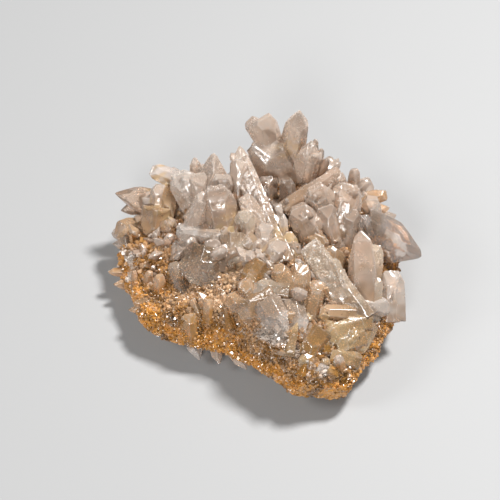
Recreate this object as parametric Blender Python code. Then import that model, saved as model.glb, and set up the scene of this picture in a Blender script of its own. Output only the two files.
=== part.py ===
"""A celestite cluster: a stained crust of matrix with sprays of crystals grown on it.

Run with: blender --background --python part.py, or from Blender's text editor.
Lengths are written in millimetres and turned into metres where a mesh is made. +Z is up, +X runs
along the cluster's length and -Y is the side that it is mostly seen from. The origin is the centre
of the flat spot that the matrix rests on.
"""

import math
from collections import namedtuple

import bmesh
import bpy
import numpy as np

MM = 0.001

# The gap that a cut crystal keeps to the matrix and to the crystals of other sprays. Points moved
# out along their normals clear the faces beside them by less, so they go further by this factor.
GAP = 0.3
OBLIQUE = 1.3

# The matrix's rim, anticlockwise from the right: where it stands, and the heights of its lower and
# upper edges.
RIM = (
    (43, 2, 6, 15),
    (41, 14, 6, 15),
    (33, 25, 6, 16),
    (20, 33, 6, 17),
    (4, 37, 6, 17),
    (-12, 34, 6, 15),
    (-27, 30, 6, 13),
    (-38, 22, 5, 11),
    (-43, 11, 5, 11),
    (-41, 0, 5, 11),
    (-36, -10, 5, 11),
    (-28, -19, 5, 11),
    (-16, -23, 5, 12),
    (-5, -27, 5, 13),
    (4, -34, 4, 15),
    (12, -41, 4, 15),
    (21, -40, 4, 14),
    (29, -36, 4, 13),
    (35, -26, 5, 13),
    (41, -13, 6, 13),
)

# The height of the matrix's crown, and how many points its surface has round it.
CROWN_HEIGHT = 26
AROUND = 32

# The matrix's profile, from the middle of its underside over the rim to the middle of its top: the
# share of the way out to the rim, and the height as a share of the rim's lower edge (under it), of
# the rim's band (on it) or of the rise to the crown (above it). The higher the fall, the flatter the
# crown and the steeper the slope at the rim.
UNDERSIDE = ((0.5, 0.0), (0.65, 0.25), (0.8, 0.6), (0.9, 0.85), (0.96, 1.0))
BAND = ((0.98, 0.25), (0.99, 0.6), (0.95, 1.0))
TOP_SHARES = (0.87, 0.78, 0.68, 0.56, 0.43, 0.29, 0.14)
TOP_FALL = 1.5

# An egg shape that stands for the matrix where a direction straight out of it is needed.
MATRIX_MIDDLE = np.array([0.0, 5.0, 10.0])
MATRIX_REACH = np.array([45.0, 42.0, 16.0])

# Broad swellings and hollows of the matrix's top, which lies above this height: centre, height and
# spread.
TOP_LEVEL = 12
SWELLS = (
    (8, 28, 3.5, 9.0),
    (-26, -3, -2.5, 10.0),
)

# Lumps all over the matrix: wavelength and height.
LUMPS = ((17.0, 0.9), (10.0, 0.8))
WAVES_EACH = 5
LUMPS_SEED = 7

# The direction that a crystal's broad face looks in, before its turn.
FACE_ON = np.array([0.0, -math.cos(math.radians(50)), math.sin(math.radians(50))])

# How far a crystal runs on into the matrix behind its root. One that points down or lies flat runs
# on less, so that its other end stays hidden.
SINK = 7.0
SHORT = 2.5

# A crystal's place, size and habit: its breadth and depth across its length, its turn about its
# length in degrees, the kind of end that it has, and how far it runs on behind its root.
Crystal = namedtuple("Crystal", "root tip breadth depth turn end sink", defaults=(SINK,))

# Each spray's crystals. Those that overlap have grown together and are one solid.
SPRAYS = {
    "crown_spray": {
        "horn_left": Crystal((6, 35, 22), (2, 36, 44), 9.5, 5.5, 10, "blunt"),
        "horn_hook": Crystal((3, 37, 33), (-2, 37, 42), 6.5, 4.5, 0, "blunt"),
        "horn_right": Crystal((10, 36, 22), (13, 35, 48), 8.5, 6.0, -10, "point"),
        "crown_slab": Crystal((9, 30, 20), (2, 35, 36), 14.0, 8.0, 0, "blunt"),
        "crown_right": Crystal((14, 30, 20), (17, 32, 38), 8.5, 6.0, 15, "point"),
        "crown_step_1": Crystal((18, 34, 24), (18, 33, 38), 3.0, 2.5, 0, "point"),
        "crown_step_2": Crystal((19, 33, 24), (20, 32, 35), 3.0, 2.5, 20, "point"),
        "crown_step_3": Crystal((20, 31, 23), (22, 32, 31), 3.0, 2.5, 0, "point"),
        "crown_step_4": Crystal((20, 30, 22), (24, 31, 27), 3.5, 3.0, 0, "point"),
    },
    "left_ridge_spray": {
        "left_pyramid": Crystal((-14, 24, 18), (-13, 30, 36), 13.0, 10.0, 0, "pyramid"),
        "left_small": Crystal((-18, 30, 20), (-19, 31, 32), 4.5, 3.5, 0, "point"),
        "ridge_grey": Crystal((-20, 30, 20), (-33, 34, 23), 6.5, 4.5, 0, "blunt"),
        "ridge_white": Crystal((-19, 23, 21), (-24, 27, 29), 10.5, 7.0, 0, "blunt"),
        "ridge_mid": Crystal((-17, 22, 22), (-18, 26, 30), 9.0, 6.5, 0, "blunt"),
        "pyramid_foot": Crystal((-11, 20, 22), (-10, 23, 32), 9.0, 6.5, 0, "blunt"),
        "ridge_yellow": Crystal((-27, 25, 21), (-29, 27, 24), 5.5, 4.5, 0, "blunt", SHORT),
        "ridge_block_1": Crystal((-31, 24, 20), (-36, 25, 18), 6.5, 5.0, 0, "blunt", SHORT),
        "ridge_block_2": Crystal((-30, 24, 22), (-30, 26, 25), 6.0, 5.0, 0, "blunt"),
        "ridge_wedge": Crystal((-28, 24, 22), (-26, 18, 18), 6.0, 4.0, 0, "point", SHORT),
        "brown_block": Crystal((-31, 18, 20), (-32, 14, 14), 8.5, 7.0, 0, "blunt", SHORT),
    },
    "left_point_spray": {
        "left_point": Crystal((-31, 25, 17), (-44, 28, 19), 8.5, 6.0, 0, "point"),
        "left_under": Crystal((-37, 27, 13), (-43, 27, 12), 4.0, 3.0, 0, "point"),
    },
    "left_rim_spray": {
        "left_dome": Crystal((-36, 17, 13), (-44, 18, 13), 8.5, 6.0, 0, "blunt"),
        "left_white_1": Crystal((-41, 18, 9), (-45, 19, 11), 3.5, 3.0, 0, "blunt"),
        "left_white_2": Crystal((-41, 15, 9), (-45, 15, 10), 3.5, 2.5, 0, "point"),
        "left_white_3": Crystal((-40, 12, 13), (-39, 6, 11), 3.0, 2.0, 0, "chisel", SHORT),
    },
    "centre_left_spray": {
        "brown_faced": Crystal((-10, 8, 22), (-12, 14, 37), 11.5, 8.5, 0, "blunt"),
        "frost_rim": Crystal((-20, 8, 22), (-15, 13, 35), 6.5, 5.0, 0, "blunt"),
        "white_thumb": Crystal((-13, 5, 25), (-24, 8, 24), 7.0, 6.0, 0, "blunt", SHORT),
        "white_thumb_2": Crystal((-15, 6, 25), (-18, 2, 22), 5.0, 4.0, 0, "point", SHORT),
        "small_white": Crystal((-21, 2, 21), (-25, 6, 20), 5.0, 4.0, 0, "blunt", SHORT),
        "small_white_2": Crystal((-21, 3, 18), (-25, 5, 15), 3.0, 2.5, 0, "point", SHORT),
        "below_face": Crystal((-9, 2, 22), (-13, 3, 27), 8.5, 7.0, 0, "blunt"),
    },
    "long_lath_spray": {
        "long_lath": Crystal((5, 1, 25), (-5, 29, 34), 8.0, 4.0, -25, "chisel"),
        "lath_partner": Crystal((3, 3, 26), (-4, 14, 33), 6.5, 4.0, 10, "blunt"),
        "lath_foot": Crystal((2, 10, 26), (5, -1, 27), 6.5, 3.5, 0, "blunt", SHORT),
        "lath_side": Crystal((-6, 20, 25), (-5, 27, 35), 6.0, 5.0, 0, "blunt"),
        "grey_side": Crystal((-9, 24, 25), (-7, 26, 31), 5.5, 4.5, 0, "point"),
        "yellow_nook": Crystal((-6, 2, 24), (-7, 6, 29), 6.5, 5.0, 0, "blunt"),
        "pale_wall": Crystal((-2, 4, 25), (-4, 8, 33), 7.5, 6.0, 0, "blunt"),
        "lath_root": Crystal((2, 0, 24), (3, 5, 31), 7.5, 6.0, 0, "blunt"),
        "yellow_block": Crystal((10, 0, 24), (9, 4, 28), 6.0, 4.0, 0, "blunt"),
        "bright_prism": Crystal((8, 4, 28), (8, 8, 32), 3.0, 2.5, 0, "point"),
        "corner_block": Crystal((-6, 1, 27), (-6, -5, 23), 10.0, 7.5, 0, "blunt", SHORT),
        "corner_right": Crystal((-2, 0, 27), (3, -3, 24), 6.0, 5.0, 0, "point", SHORT),
        "white_tooth": Crystal((-3, 3, 29), (-3, -1, 26), 2.5, 2.5, 0, "blunt", SHORT),
        "pale_tooth": Crystal((-6, 4, 28), (-8, 0, 25), 3.5, 3.0, 0, "blunt", SHORT),
    },
    "glass_block_spray": {
        "glass_block": Crystal((-14, -2, 24), (-17, -9, 19), 12.0, 8.5, 0, "chisel", SHORT),
        "glass_left": Crystal((-18, -2, 22), (-23, -4, 18), 6.5, 5.0, 0, "blunt", SHORT),
        "glass_low_2": Crystal((-23, -5, 17), (-25, -1, 20), 5.5, 4.5, 0, "blunt"),
        "glass_chip": Crystal((-11, -2, 20), (-11, -6, 17), 4.0, 2.5, 0, "point", SHORT),
    },
    "nook_spray": {
        "dark_prism": Crystal((3, 18, 24), (3, 24, 31), 7.0, 5.5, 0, "blunt"),
        "grey_round": Crystal((10, 17, 24), (9, 21, 33), 5.5, 5.0, 0, "blunt"),
        "nook_1": Crystal((10, 14, 24), (9, 16, 28), 4.5, 3.5, 0, "point"),
        "nook_2": Crystal((9, 14, 26), (9, 15, 31), 3.0, 2.5, 0, "point"),
        "nook_foot": Crystal((7, 15, 20), (7, 17, 27), 12.0, 8.0, 0, "blunt"),
    },
    "ball_spray": {
        "ball_left": Crystal((16, 6, 26), (12, 10, 33), 9.5, 7.0, 0, "blunt"),
        "ball_blade": Crystal((14, 16, 30), (25, 22, 36), 4.5, 2.0, 0, "chisel"),
        "ball_front": Crystal((23, 6, 23), (20, 11, 32), 9.5, 7.5, 0, "blunt"),
        "ball_low": Crystal((18, 1, 24), (19, 3, 28), 7.5, 6.0, 0, "blunt"),
        "ball_wall": Crystal((27, 7, 22), (28, 11, 31), 8.0, 6.5, 0, "blunt"),
        "ball_mid": Crystal((21, 12, 28), (17, 15, 36), 10.0, 7.0, 0, "blunt"),
        "ball_top": Crystal((26, 12, 28), (28, 17, 35), 10.5, 8.0, 0, "blunt"),
        "ball_right": Crystal((28, 12, 24), (28, 15, 35), 6.0, 5.0, 0, "blunt"),
        "ball_back": Crystal((25, 21, 26), (26, 24, 33), 5.0, 4.0, 0, "point"),
        "ball_foot": Crystal((20, 13, 20), (20, 16, 31), 19.0, 12.0, 0, "blunt"),
    },
    "right_back_spray": {
        "top_tooth_1": Crystal((30, 25, 25), (30, 27, 31), 4.0, 3.0, 0, "blunt"),
        "top_tooth_2": Crystal((30, 21, 25), (34, 24, 29), 3.5, 2.5, 0, "blunt"),
        "tan_chisel": Crystal((32, 20, 24), (40, 22, 25), 5.0, 3.5, 0, "chisel"),
        "tan_chisel_2": Crystal((32, 16, 23), (41, 19, 22), 4.0, 3.0, 0, "point"),
        "tan_back": Crystal((35, 16, 23), (35, 18, 28), 6.5, 6.0, 0, "blunt"),
        "right_back_foot": Crystal((30, 21, 18), (31, 23, 27), 9.0, 7.0, 0, "blunt"),
    },
    "right_point_spray": {
        "right_point": Crystal((34, 10, 21), (51, 6, 14), 14.5, 11.0, 0, "point", SHORT),
        "round_bead": Crystal((33, 6, 25), (32, 10, 29), 4.5, 4.0, 0, "blunt"),
    },
    "leaf_spray": {
        "leaf": Crystal((31, -14, 18), (31, 2, 32), 8.5, 3.5, 0, "leaf", SHORT),
        "leaf_side": Crystal((34, -6, 22), (35, 0, 27), 6.5, 4.5, 0, "blunt"),
        "leaf_low": Crystal((34, -13, 18), (35, -8, 22), 6.0, 5.0, 0, "blunt"),
    },
    "front_blade_spray": {
        "front_blade": Crystal((29, -19, 18), (15, -4, 32), 8.5, 2.5, -18, "square", SHORT),
        "blade_back": Crystal((26, -16, 20), (22, -8, 30), 5.0, 3.0, 0, "blunt"),
        "blade_foot": Crystal((26, -20, 19), (18, -21, 21), 6.0, 4.0, 0, "blunt", SHORT),
        "brown_nook": Crystal((23, -4, 23), (21, -2, 28), 7.5, 6.0, 0, "blunt"),
        "pale_nook": Crystal((24, -11, 22), (23, -9, 26), 7.5, 6.0, 0, "blunt"),
    },
    "right_chunk_spray": {
        "right_chunk": Crystal((40, -14, 12), (40, -5, 21), 8.5, 5.5, 0, "blunt", SHORT),
        "right_foot": Crystal((32, -16, 17), (39, -14, 15), 7.0, 5.5, 0, "blunt", SHORT),
    },
    "pillar_spray": {
        "pillar_1": Crystal((9, -16, 24), (6, -9, 29), 6.5, 4.5, 0, "blunt"),
        "pillar_2": Crystal((12, -14, 23), (13, -8, 28), 7.5, 5.5, 0, "blunt"),
        "pillar_3": Crystal((16, -18, 21), (18, -12, 25), 6.0, 4.5, 0, "chisel"),
        "pillar_foot": Crystal((10, -15, 17), (11, -13, 24), 13.0, 6.0, 0, "blunt"),
    },
    "brown_glass_spray": {
        "brown_glass": Crystal((0, -9, 26), (-3, -14, 24), 7.5, 6.0, 0, "blunt", SHORT),
        "brown_glass_2": Crystal((-1, -15, 22), (-4, -12, 26), 7.5, 6.0, 0, "blunt"),
    },
    "tan_slab_spray": {
        "tan_slab": Crystal((4, -18, 23), (-5, -19, 18), 10.5, 7.5, 0, "blunt", SHORT),
        "tan_ridge": Crystal((11, -19, 23), (4, -19, 23), 4.5, 3.0, 0, "chisel", SHORT),
        "slab_top": Crystal((7, -16, 25), (-1, -15, 25), 6.5, 5.0, 0, "blunt", SHORT),
        "slab_side": Crystal((-4, -17, 21), (-9, -17, 22), 7.0, 6.0, 0, "blunt"),
        "fang_left": Crystal((5, -24, 24), (9, -31, 22), 8.0, 5.5, 0, "point", 5.0),
        "fang_right": Crystal((11, -23, 22), (13, -31, 20), 7.5, 5.0, 0, "point", 5.0),
    },
    "front_pale_spray": {
        "amber_face": Crystal((17, -29, 20), (13, -34, 18), 8.0, 5.5, 0, "blunt", SHORT),
        "front_pale_1": Crystal((28, -24, 17), (20, -29, 20), 7.5, 4.0, 0, "blunt", SHORT),
        "front_pale_2": Crystal((29, -27, 16), (23, -31, 18), 6.5, 3.0, 0, "blunt", SHORT),
        "front_pale_3": Crystal((27, -33, 14), (21, -33, 17), 6.0, 3.0, 0, "blunt", SHORT),
        "front_pale_4": Crystal((31, -22, 17), (25, -24, 19), 6.0, 3.0, 0, "blunt", SHORT),
        "front_pale_5": Crystal((32, -23, 15), (29, -30, 14), 5.5, 3.0, 0, "blunt", SHORT),
        "front_pale_foot": Crystal((25, -27, 15), (24, -27, 19), 13.0, 9.0, 0, "blunt"),
    },
    "back_left_spray": {
        "back_left_1": Crystal((-22, 26, 16), (-26, 37, 22), 7.0, 5.0, 0, "point"),
        "back_left_2": Crystal((-16, 28, 16), (-16, 39, 20), 6.0, 4.5, 20, "blunt"),
        "back_left_3": Crystal((-27, 25, 13), (-35, 33, 14), 5.0, 4.0, -15, "point", SHORT),
        "back_left_foot": Crystal((-22, 27, 14), (-23, 32, 19), 15.0, 9.0, 0, "blunt"),
    },
    "back_middle_spray": {
        "back_middle_1": Crystal((-4, 31, 18), (-5, 40, 28), 8.0, 6.0, 0, "point"),
        "back_middle_2": Crystal((2, 33, 17), (3, 42, 22), 6.5, 5.0, 25, "blunt"),
        "back_middle_3": Crystal((-8, 32, 14), (-9, 41, 14), 5.0, 4.0, -10, "point", SHORT),
        "back_middle_foot": Crystal((-5, 31, 14), (-6, 37, 19), 12.0, 8.0, 0, "blunt"),
    },
    "back_right_spray": {
        "back_right_1": Crystal((20, 30, 18), (26, 38, 24), 8.5, 6.0, 0, "point"),
        "back_right_2": Crystal((27, 26, 17), (36, 31, 21), 7.0, 5.0, 30, "blunt"),
        "back_right_3": Crystal((13, 33, 15), (15, 42, 16), 6.0, 4.5, 0, "point", SHORT),
        "back_right_4": Crystal((35, 20, 14), (44, 23, 14), 5.5, 4.0, 0, "point", SHORT),
        "back_right_foot_1": Crystal((19, 30, 15), (20, 36, 20), 16.0, 8.0, 0, "blunt"),
        "back_right_foot_2": Crystal((32, 23, 14), (37, 27, 18), 13.0, 8.0, 0, "blunt"),
    },
}

# Small crystals that are one with the matrix.
CRUST = {
    "left_low_1": Crystal((-41, 5, 8), (-46, 5, 8), 3.0, 2.5, 0, "point", SHORT),
    "left_low_2": Crystal((-39, 1, 7), (-44, 1, 7), 3.5, 2.5, 0, "point", SHORT),
    "left_low_3": Crystal((-35, -9, 7), (-39, -8, 6), 2.5, 2.0, 0, "point", SHORT),
    "brown_white_1": Crystal((-33, -3, 13), (-32, -2, 17), 3.0, 2.5, 0, "blunt", SHORT),
    "brown_white_2": Crystal((-37, -2, 12), (-37, 0, 15), 2.0, 1.5, 0, "blunt", SHORT),
    "brown_pale": Crystal((-29, -6, 14), (-29, -4, 18), 4.0, 3.0, 0, "blunt", SHORT),
    "brown_pale_2": Crystal((-15, -15, 18), (-17, -13, 21), 4.5, 3.5, 0, "point", SHORT),
    "brown_white_3": Crystal((-17, -17, 15), (-19, -14, 19), 3.0, 2.5, 0, "blunt", SHORT),
    "brown_white_4": Crystal((-14, -18, 16), (-14, -15, 20), 4.0, 3.0, 0, "blunt", SHORT),
    "amber_lump": Crystal((-19, -20, 10), (-20, -17, 16), 6.5, 5.0, 0, "blunt", SHORT),
    "pale_lath": Crystal((-8, -20, 16), (-10, -13, 21), 2.5, 1.5, 0, "chisel", SHORT),
    "band_white_1": Crystal((2, -25, 20), (3, -25, 22), 3.0, 2.5, 0, "blunt", SHORT),
    "band_white_2": Crystal((5, -29, 20), (6, -29, 22), 3.0, 2.5, 0, "blunt", SHORT),
    "band_white_3": Crystal((9, -33, 18), (10, -33, 21), 3.5, 2.5, 0, "blunt", SHORT),
    "band_white_4": Crystal((13, -36, 16), (14, -36, 19), 3.5, 2.5, 0, "blunt", SHORT),
    "band_white_5": Crystal((16, -38, 15), (20, -36, 17), 3.0, 2.0, 0, "chisel", SHORT),
    "lobe_amber": Crystal((14, -37, 16), (15, -34, 19), 5.0, 3.5, 0, "blunt", SHORT),
    "lobe_pale_1": Crystal((19, -31, 18), (18, -28, 22), 5.0, 3.5, 0, "point", SHORT),
    "lobe_pale_2": Crystal((24, -35, 15), (23, -34, 18), 3.5, 2.5, 0, "blunt", SHORT),
    "lobe_pale_3": Crystal((21, -37, 14), (17, -36, 17), 4.5, 2.5, 0, "point", SHORT),
    "orange_corner": Crystal((34, -19, 9), (40, -17, 10), 5.5, 4.5, 0, "blunt", SHORT),
    "dark_corner": Crystal((26, -30, 8), (31, -31, 6), 4.0, 3.5, 0, "point", SHORT),
    "under_1": Crystal((-20, -17, 7), (-17, -25, 3), 5.0, 4.5, 0, "point", SHORT),
    "under_2": Crystal((-13, -20, 7), (-11, -27, 4), 4.0, 3.5, 0, "point", SHORT),
    "under_3": Crystal((-8, -22, 7), (-3, -29, 4), 4.5, 4.0, 0, "point", SHORT),
}

# Smaller crystals still, strewn over parts of the matrix: how many, the part of the way round it in
# turns (from the right, anticlockwise), the part of the way out to the rim, and their breadths. Each
# leans from straight out of the matrix by a random share, and its length and depth are shares of its
# breadth. One that comes nearer than this room to a spray is left out.
STREWN = (
    (3, (0.45, 0.72), (0.72, 0.97), (2.2, 3.6)),
    (2, (0.72, 0.97), (0.7, 0.97), (2.2, 3.7)),
    (4, (0.0, 0.45), (0.7, 0.97), (2.6, 4.6)),
)
STREWN_SEED = 5
STREWN_LEAN = 0.35
STREWN_LENGTH = (0.7, 1.3)
STREWN_DEPTH = 0.75
STREWN_ENDS = ("spike", "blunt", "chisel")
STREWN_ROOM = 0.6

# A loose bit that a cut leaves is dropped if it is smaller than this each way.
CHIP = 6.0

# Each crystal is cut from a block of this size. Points nearer to a plane than this lie on it.
BLOCK = 300
SAME_PLACE = 1e-4

# A crystal's end planes: the side that each faces, in degrees round the length from the breadth, how
# far it drops from the tip to the crystal's side in breadths, and how far out from the middle it
# starts, as a share of the half breadth or half depth on that side.
ENDS = {
    "point": (
        (0, 0.8, 0.1),
        (180, 0.8, 0.05),
        (60, 0.7, 0.1),
        (120, 0.8, 0.0),
        (240, 0.7, 0.05),
        (300, 0.7, 0.1),
    ),
    "spike": ((5, 0.8, 0.0), (175, 0.9, 0.05), (85, 0.7, 0.05), (275, 0.7, 0.0)),
    "chisel": ((90, 0.5, 0.0), (270, 0.5, 0.05), (0, 0.45, 0.5), (180, 0.3, 0.7)),
    "blunt": ((0, 0.35, 0.45), (180, 0.45, 0.5), (90, 0.4, 0.35), (270, 0.4, 0.4)),
    "pyramid": ((35, 1.15, 0.0), (145, 1.15, 0.05), (215, 1.0, 0.0), (325, 1.0, 0.05)),
    "leaf": (
        (0, 1.3, 0.4),
        (180, 1.3, 0.4),
        (0, 0.5, 0.0),
        (180, 0.5, 0.0),
        (90, 0.5, 0.1),
        (270, 0.5, 0.1),
    ),
    "square": ((0, 0.12, 0.8), (180, 0.15, 0.8), (90, 0.15, 0.5), (270, 0.15, 0.5)),
}
FLAT_ENDS = ("blunt", "square")

# A crystal's side planes: the slant of the four that meet at its two edges, how far out a broad
# crystal's edges are cut flat, how fast it narrows, and how uneven its planes are, as a share and in
# degrees. A sharp crystal keeps its edges uncut, and a slim one has nothing but the slanting four.
# The flat top of a blunt or square end tilts a little at random.
SIDE_SLANT = 40
EDGE_CUT = 0.94
SHARP_BREADTH = 8.5
SLIM_BREADTH = 5.2
TAPER = 0.05
UNEVEN = 0.06
UNEVEN_DEGREES = 8
TOP_TILT = 0.15

# The finishes: base colour, roughness and how much light goes through.
FINISHES = {
    "stained_matrix": ((0.36, 0.2, 0.08), 0.75, 0.0),
    "pale_crystal": ((0.7, 0.63, 0.56), 0.35, 0.3),
    "clear_crystal": ((0.72, 0.68, 0.66), 0.12, 0.7),
    "tan_crystal": ((0.66, 0.48, 0.3), 0.3, 0.4),
}
CLEAR_SPRAYS = ("left_point_spray", "right_point_spray", "glass_block_spray")
TAN_SPRAYS = ("brown_glass_spray", "pillar_spray", "tan_slab_spray", "front_pale_spray", "left_rim_spray")


def clear_scene():
    for scene_object in list(bpy.data.objects):
        bpy.data.objects.remove(scene_object, do_unlink=True)


def unit(vectors):
    return vectors / np.linalg.norm(vectors, axis=-1, keepdims=True)


def matrix_outward(points):
    """The directions straight out of the egg shape that stands for the matrix."""
    return unit((points - MATRIX_MIDDLE) / MATRIX_REACH**2)


def curve_round(values, count):
    """A closed smooth curve through the values, read at count even steps (Catmull-Rom)."""
    values = np.array(values, float)
    steps = np.arange(count) * len(values) / count
    start = np.floor(steps).astype(int)
    share = (steps - start)[:, None]
    before, here, after, later = (values[(start + k) % len(values)] for k in (-1, 0, 1, 2))
    slope_here = (after - before) / 2
    slope_after = (later - here) / 2
    rise = after - here
    return here + share * slope_here + share**2 * (3 * rise - 2 * slope_here - slope_after) + share**3 * (
        slope_here + slope_after - 2 * rise
    )


def lumps(points):
    """Sums of waves in all directions, one set for each wavelength."""
    draw = np.random.default_rng(LUMPS_SEED)
    height = np.zeros(len(points))
    for wavelength, strength in LUMPS:
        for _ in range(WAVES_EACH):
            waves = points @ unit(draw.normal(size=3)) * 2 * math.pi / wavelength
            height += strength / math.sqrt(WAVES_EACH) * np.sin(waves + draw.uniform(0, 2 * math.pi))
    return height


def matrix_rows():
    """The matrix's surface as rows of points round it, with its middle points last."""
    x, y, low, high = curve_round(RIM, AROUND).T
    rows = []
    loose = []
    for share, rise in UNDERSIDE:
        rows.append(np.stack([x * share, y * share, low * rise], 1))
        loose.append(rise)
    for share, rise in BAND:
        rows.append(np.stack([x * share, y * share, low + (high - low) * rise], 1))
        loose.append(1)
    for share in TOP_SHARES:
        z = high + (CROWN_HEIGHT - high) * (1 - share**TOP_FALL)
        rows.append(np.stack([x * share, y * share, z], 1))
        loose.append(1)
    rows.append(np.array([[0, 0, 0], [0, 0, CROWN_HEIGHT]], float))
    loose.append(0)
    points = np.concatenate(rows)
    looseness = np.repeat(loose, [len(row) for row in rows])
    above = points[:, 2] > TOP_LEVEL
    for centre_x, centre_y, height, spread in SWELLS:
        away = (points[:, 0] - centre_x) ** 2 + (points[:, 1] - centre_y) ** 2
        points[:, 2] += above * height * np.exp(-away / spread**2)
    return points + matrix_outward(points) * (lumps(points) * looseness)[:, None]


def grid_faces(rows):
    """Triangles between rows of AROUND points, and fans to the two middle points."""
    faces = []
    for row in range(rows - 1):
        for k in range(AROUND):
            after = (k + 1) % AROUND
            here, above = row * AROUND, (row + 1) * AROUND
            faces.append((here + k, here + after, above + after))
            faces.append((here + k, above + after, above + k))
    bottom, top, last = rows * AROUND, rows * AROUND + 1, (rows - 1) * AROUND
    for k in range(AROUND):
        after = (k + 1) % AROUND
        faces.append((bottom, after, k))
        faces.append((top, last + k, last + after))
    return faces


def mesh_object(name, points, faces):
    mesh = bpy.data.meshes.new(name)
    mesh.from_pydata((np.asarray(points) * MM).tolist(), [], faces)
    made = bpy.data.objects.new(name, mesh)
    bpy.context.scene.collection.objects.link(made)
    return made


def finish_of(spray):
    if spray in CLEAR_SPRAYS:
        return "clear_crystal"
    return "tan_crystal" if spray in TAN_SPRAYS else "pale_crystal"


def give_finish(target, finish):
    colour, roughness, transmission = FINISHES[finish]
    material = bpy.data.materials.get(finish) or bpy.data.materials.new(finish)
    material.use_nodes = True
    shader = material.node_tree.nodes["Principled BSDF"]
    shader.inputs["Base Color"].default_value = (*colour, 1)
    shader.inputs["Roughness"].default_value = roughness
    shader.inputs["Metallic"].default_value = 0
    shader.inputs["Transmission Weight"].default_value = transmission
    target.data.materials.clear()
    target.data.materials.append(material)


def axes_of(crystal):
    """The crystal's own directions: across its breadth, through its depth and along its length."""
    along = unit(np.subtract(crystal.tip, crystal.root).astype(float))
    through = unit(FACE_ON - along * (FACE_ON @ along))
    across = np.cross(through, along)
    turn = math.radians(crystal.turn)
    return (
        across * math.cos(turn) + through * math.sin(turn),
        through * math.cos(turn) - across * math.sin(turn),
        along,
    )


def crystal_planes(name, crystal):
    """The planes that bound a crystal, as outward normals and distances from the origin."""
    draw = np.random.default_rng([ord(letter) for letter in name])
    half_breadth, half_depth = crystal.breadth / 2, crystal.depth / 2
    length = math.dist(crystal.root, crystal.tip)
    normals, offsets = [], []

    def add(normal, point):
        """A plane with this normal through this point, both in the crystal's own directions."""
        normal = unit(np.array(normal))
        normals.append(normal)
        offsets.append(normal @ np.array(point))

    slim = crystal.breadth < SLIM_BREADTH
    for side in (-1, 1):
        if not slim:
            add((0, side, TAPER), (0, side * half_depth, length / 2))
        if crystal.breadth > SHARP_BREADTH:
            add((side, 0, TAPER), (side * half_breadth * EDGE_CUT, 0, length / 2))
        for face in (-1, 1):
            slant = math.atan2(half_breadth, half_depth) if slim else math.radians(SIDE_SLANT)
            slant += math.radians(draw.uniform(-UNEVEN_DEGREES, UNEVEN_DEGREES))
            reach = half_breadth * (1 + draw.uniform(-UNEVEN, 0))
            add((side * math.cos(slant), face * math.sin(slant), TAPER), (side * reach, 0, length / 2))
    for facing, drop, start in ENDS[crystal.end]:
        facing = math.radians(facing + draw.uniform(-UNEVEN_DEGREES, UNEVEN_DEGREES))
        side = np.array([math.cos(facing), math.sin(facing), 0])
        reach = math.hypot(half_breadth * side[0], half_depth * side[1])
        fall = drop * crystal.breadth * (1 + draw.uniform(-UNEVEN, UNEVEN))
        rise = np.array([0, 0, reach * (1 - start)])
        add(side * fall + rise, side * reach * start + np.array([0, 0, length]))
    tilt = draw.uniform(-TOP_TILT, TOP_TILT, 2)
    if crystal.end in FLAT_ENDS:
        add((tilt[0], tilt[1], 1), (0, 0, length))
    add((0, 0, -1), (0, 0, -crystal.sink))
    normals = np.array(normals) @ np.array(axes_of(crystal))
    return normals, np.array(offsets) + normals @ np.array(crystal.root, float)


def cut_solid(name, normals, offsets):
    """The solid inside the planes: a block that is cut by each of them in turn."""
    shape = bmesh.new()
    bmesh.ops.create_cube(shape, size=BLOCK)
    for normal, offset in zip(normals, offsets):
        cut = bmesh.ops.bisect_plane(
            shape,
            geom=shape.verts[:] + shape.edges[:] + shape.faces[:],
            dist=SAME_PLACE,
            plane_co=normal * offset,
            plane_no=normal,
            clear_outer=True,
        )
        edges = [part for part in cut["geom_cut"] if isinstance(part, bmesh.types.BMEdge)]
        if edges:
            bmesh.ops.contextual_create(shape, geom=edges)
    bmesh.ops.recalc_face_normals(shape, faces=shape.faces)
    bmesh.ops.scale(shape, vec=(MM, MM, MM), verts=shape.verts)
    mesh = bpy.data.meshes.new(name)
    shape.to_mesh(mesh)
    shape.free()
    made = bpy.data.objects.new(name, mesh)
    bpy.context.scene.collection.objects.link(made)
    return made


def combine(target, operation, others):
    """Joins the target with other solids, or cuts it by them, and removes them."""
    tools = bpy.data.collections.new("tools")
    for other in others:
        tools.objects.link(other)
    modifier = target.modifiers.new(operation.title(), "BOOLEAN")
    modifier.operation = operation
    modifier.operand_type = "COLLECTION"
    modifier.collection = tools
    view = bpy.context.evaluated_depsgraph_get()
    done = bpy.data.meshes.new_from_object(target.evaluated_get(view))
    target.modifiers.remove(modifier)
    target.data = done
    for other in others:
        bpy.data.objects.remove(other, do_unlink=True)
    bpy.data.collections.remove(tools)


def matrix_object(name, outset=0.0):
    """The bare matrix, or the room that it takes with a gap round it."""
    points = matrix_rows()
    made = mesh_object(name, points, grid_faces((len(points) - 2) // AROUND))
    for vertex in made.data.vertices:
        vertex.co += vertex.normal * outset * MM
    return made


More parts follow.
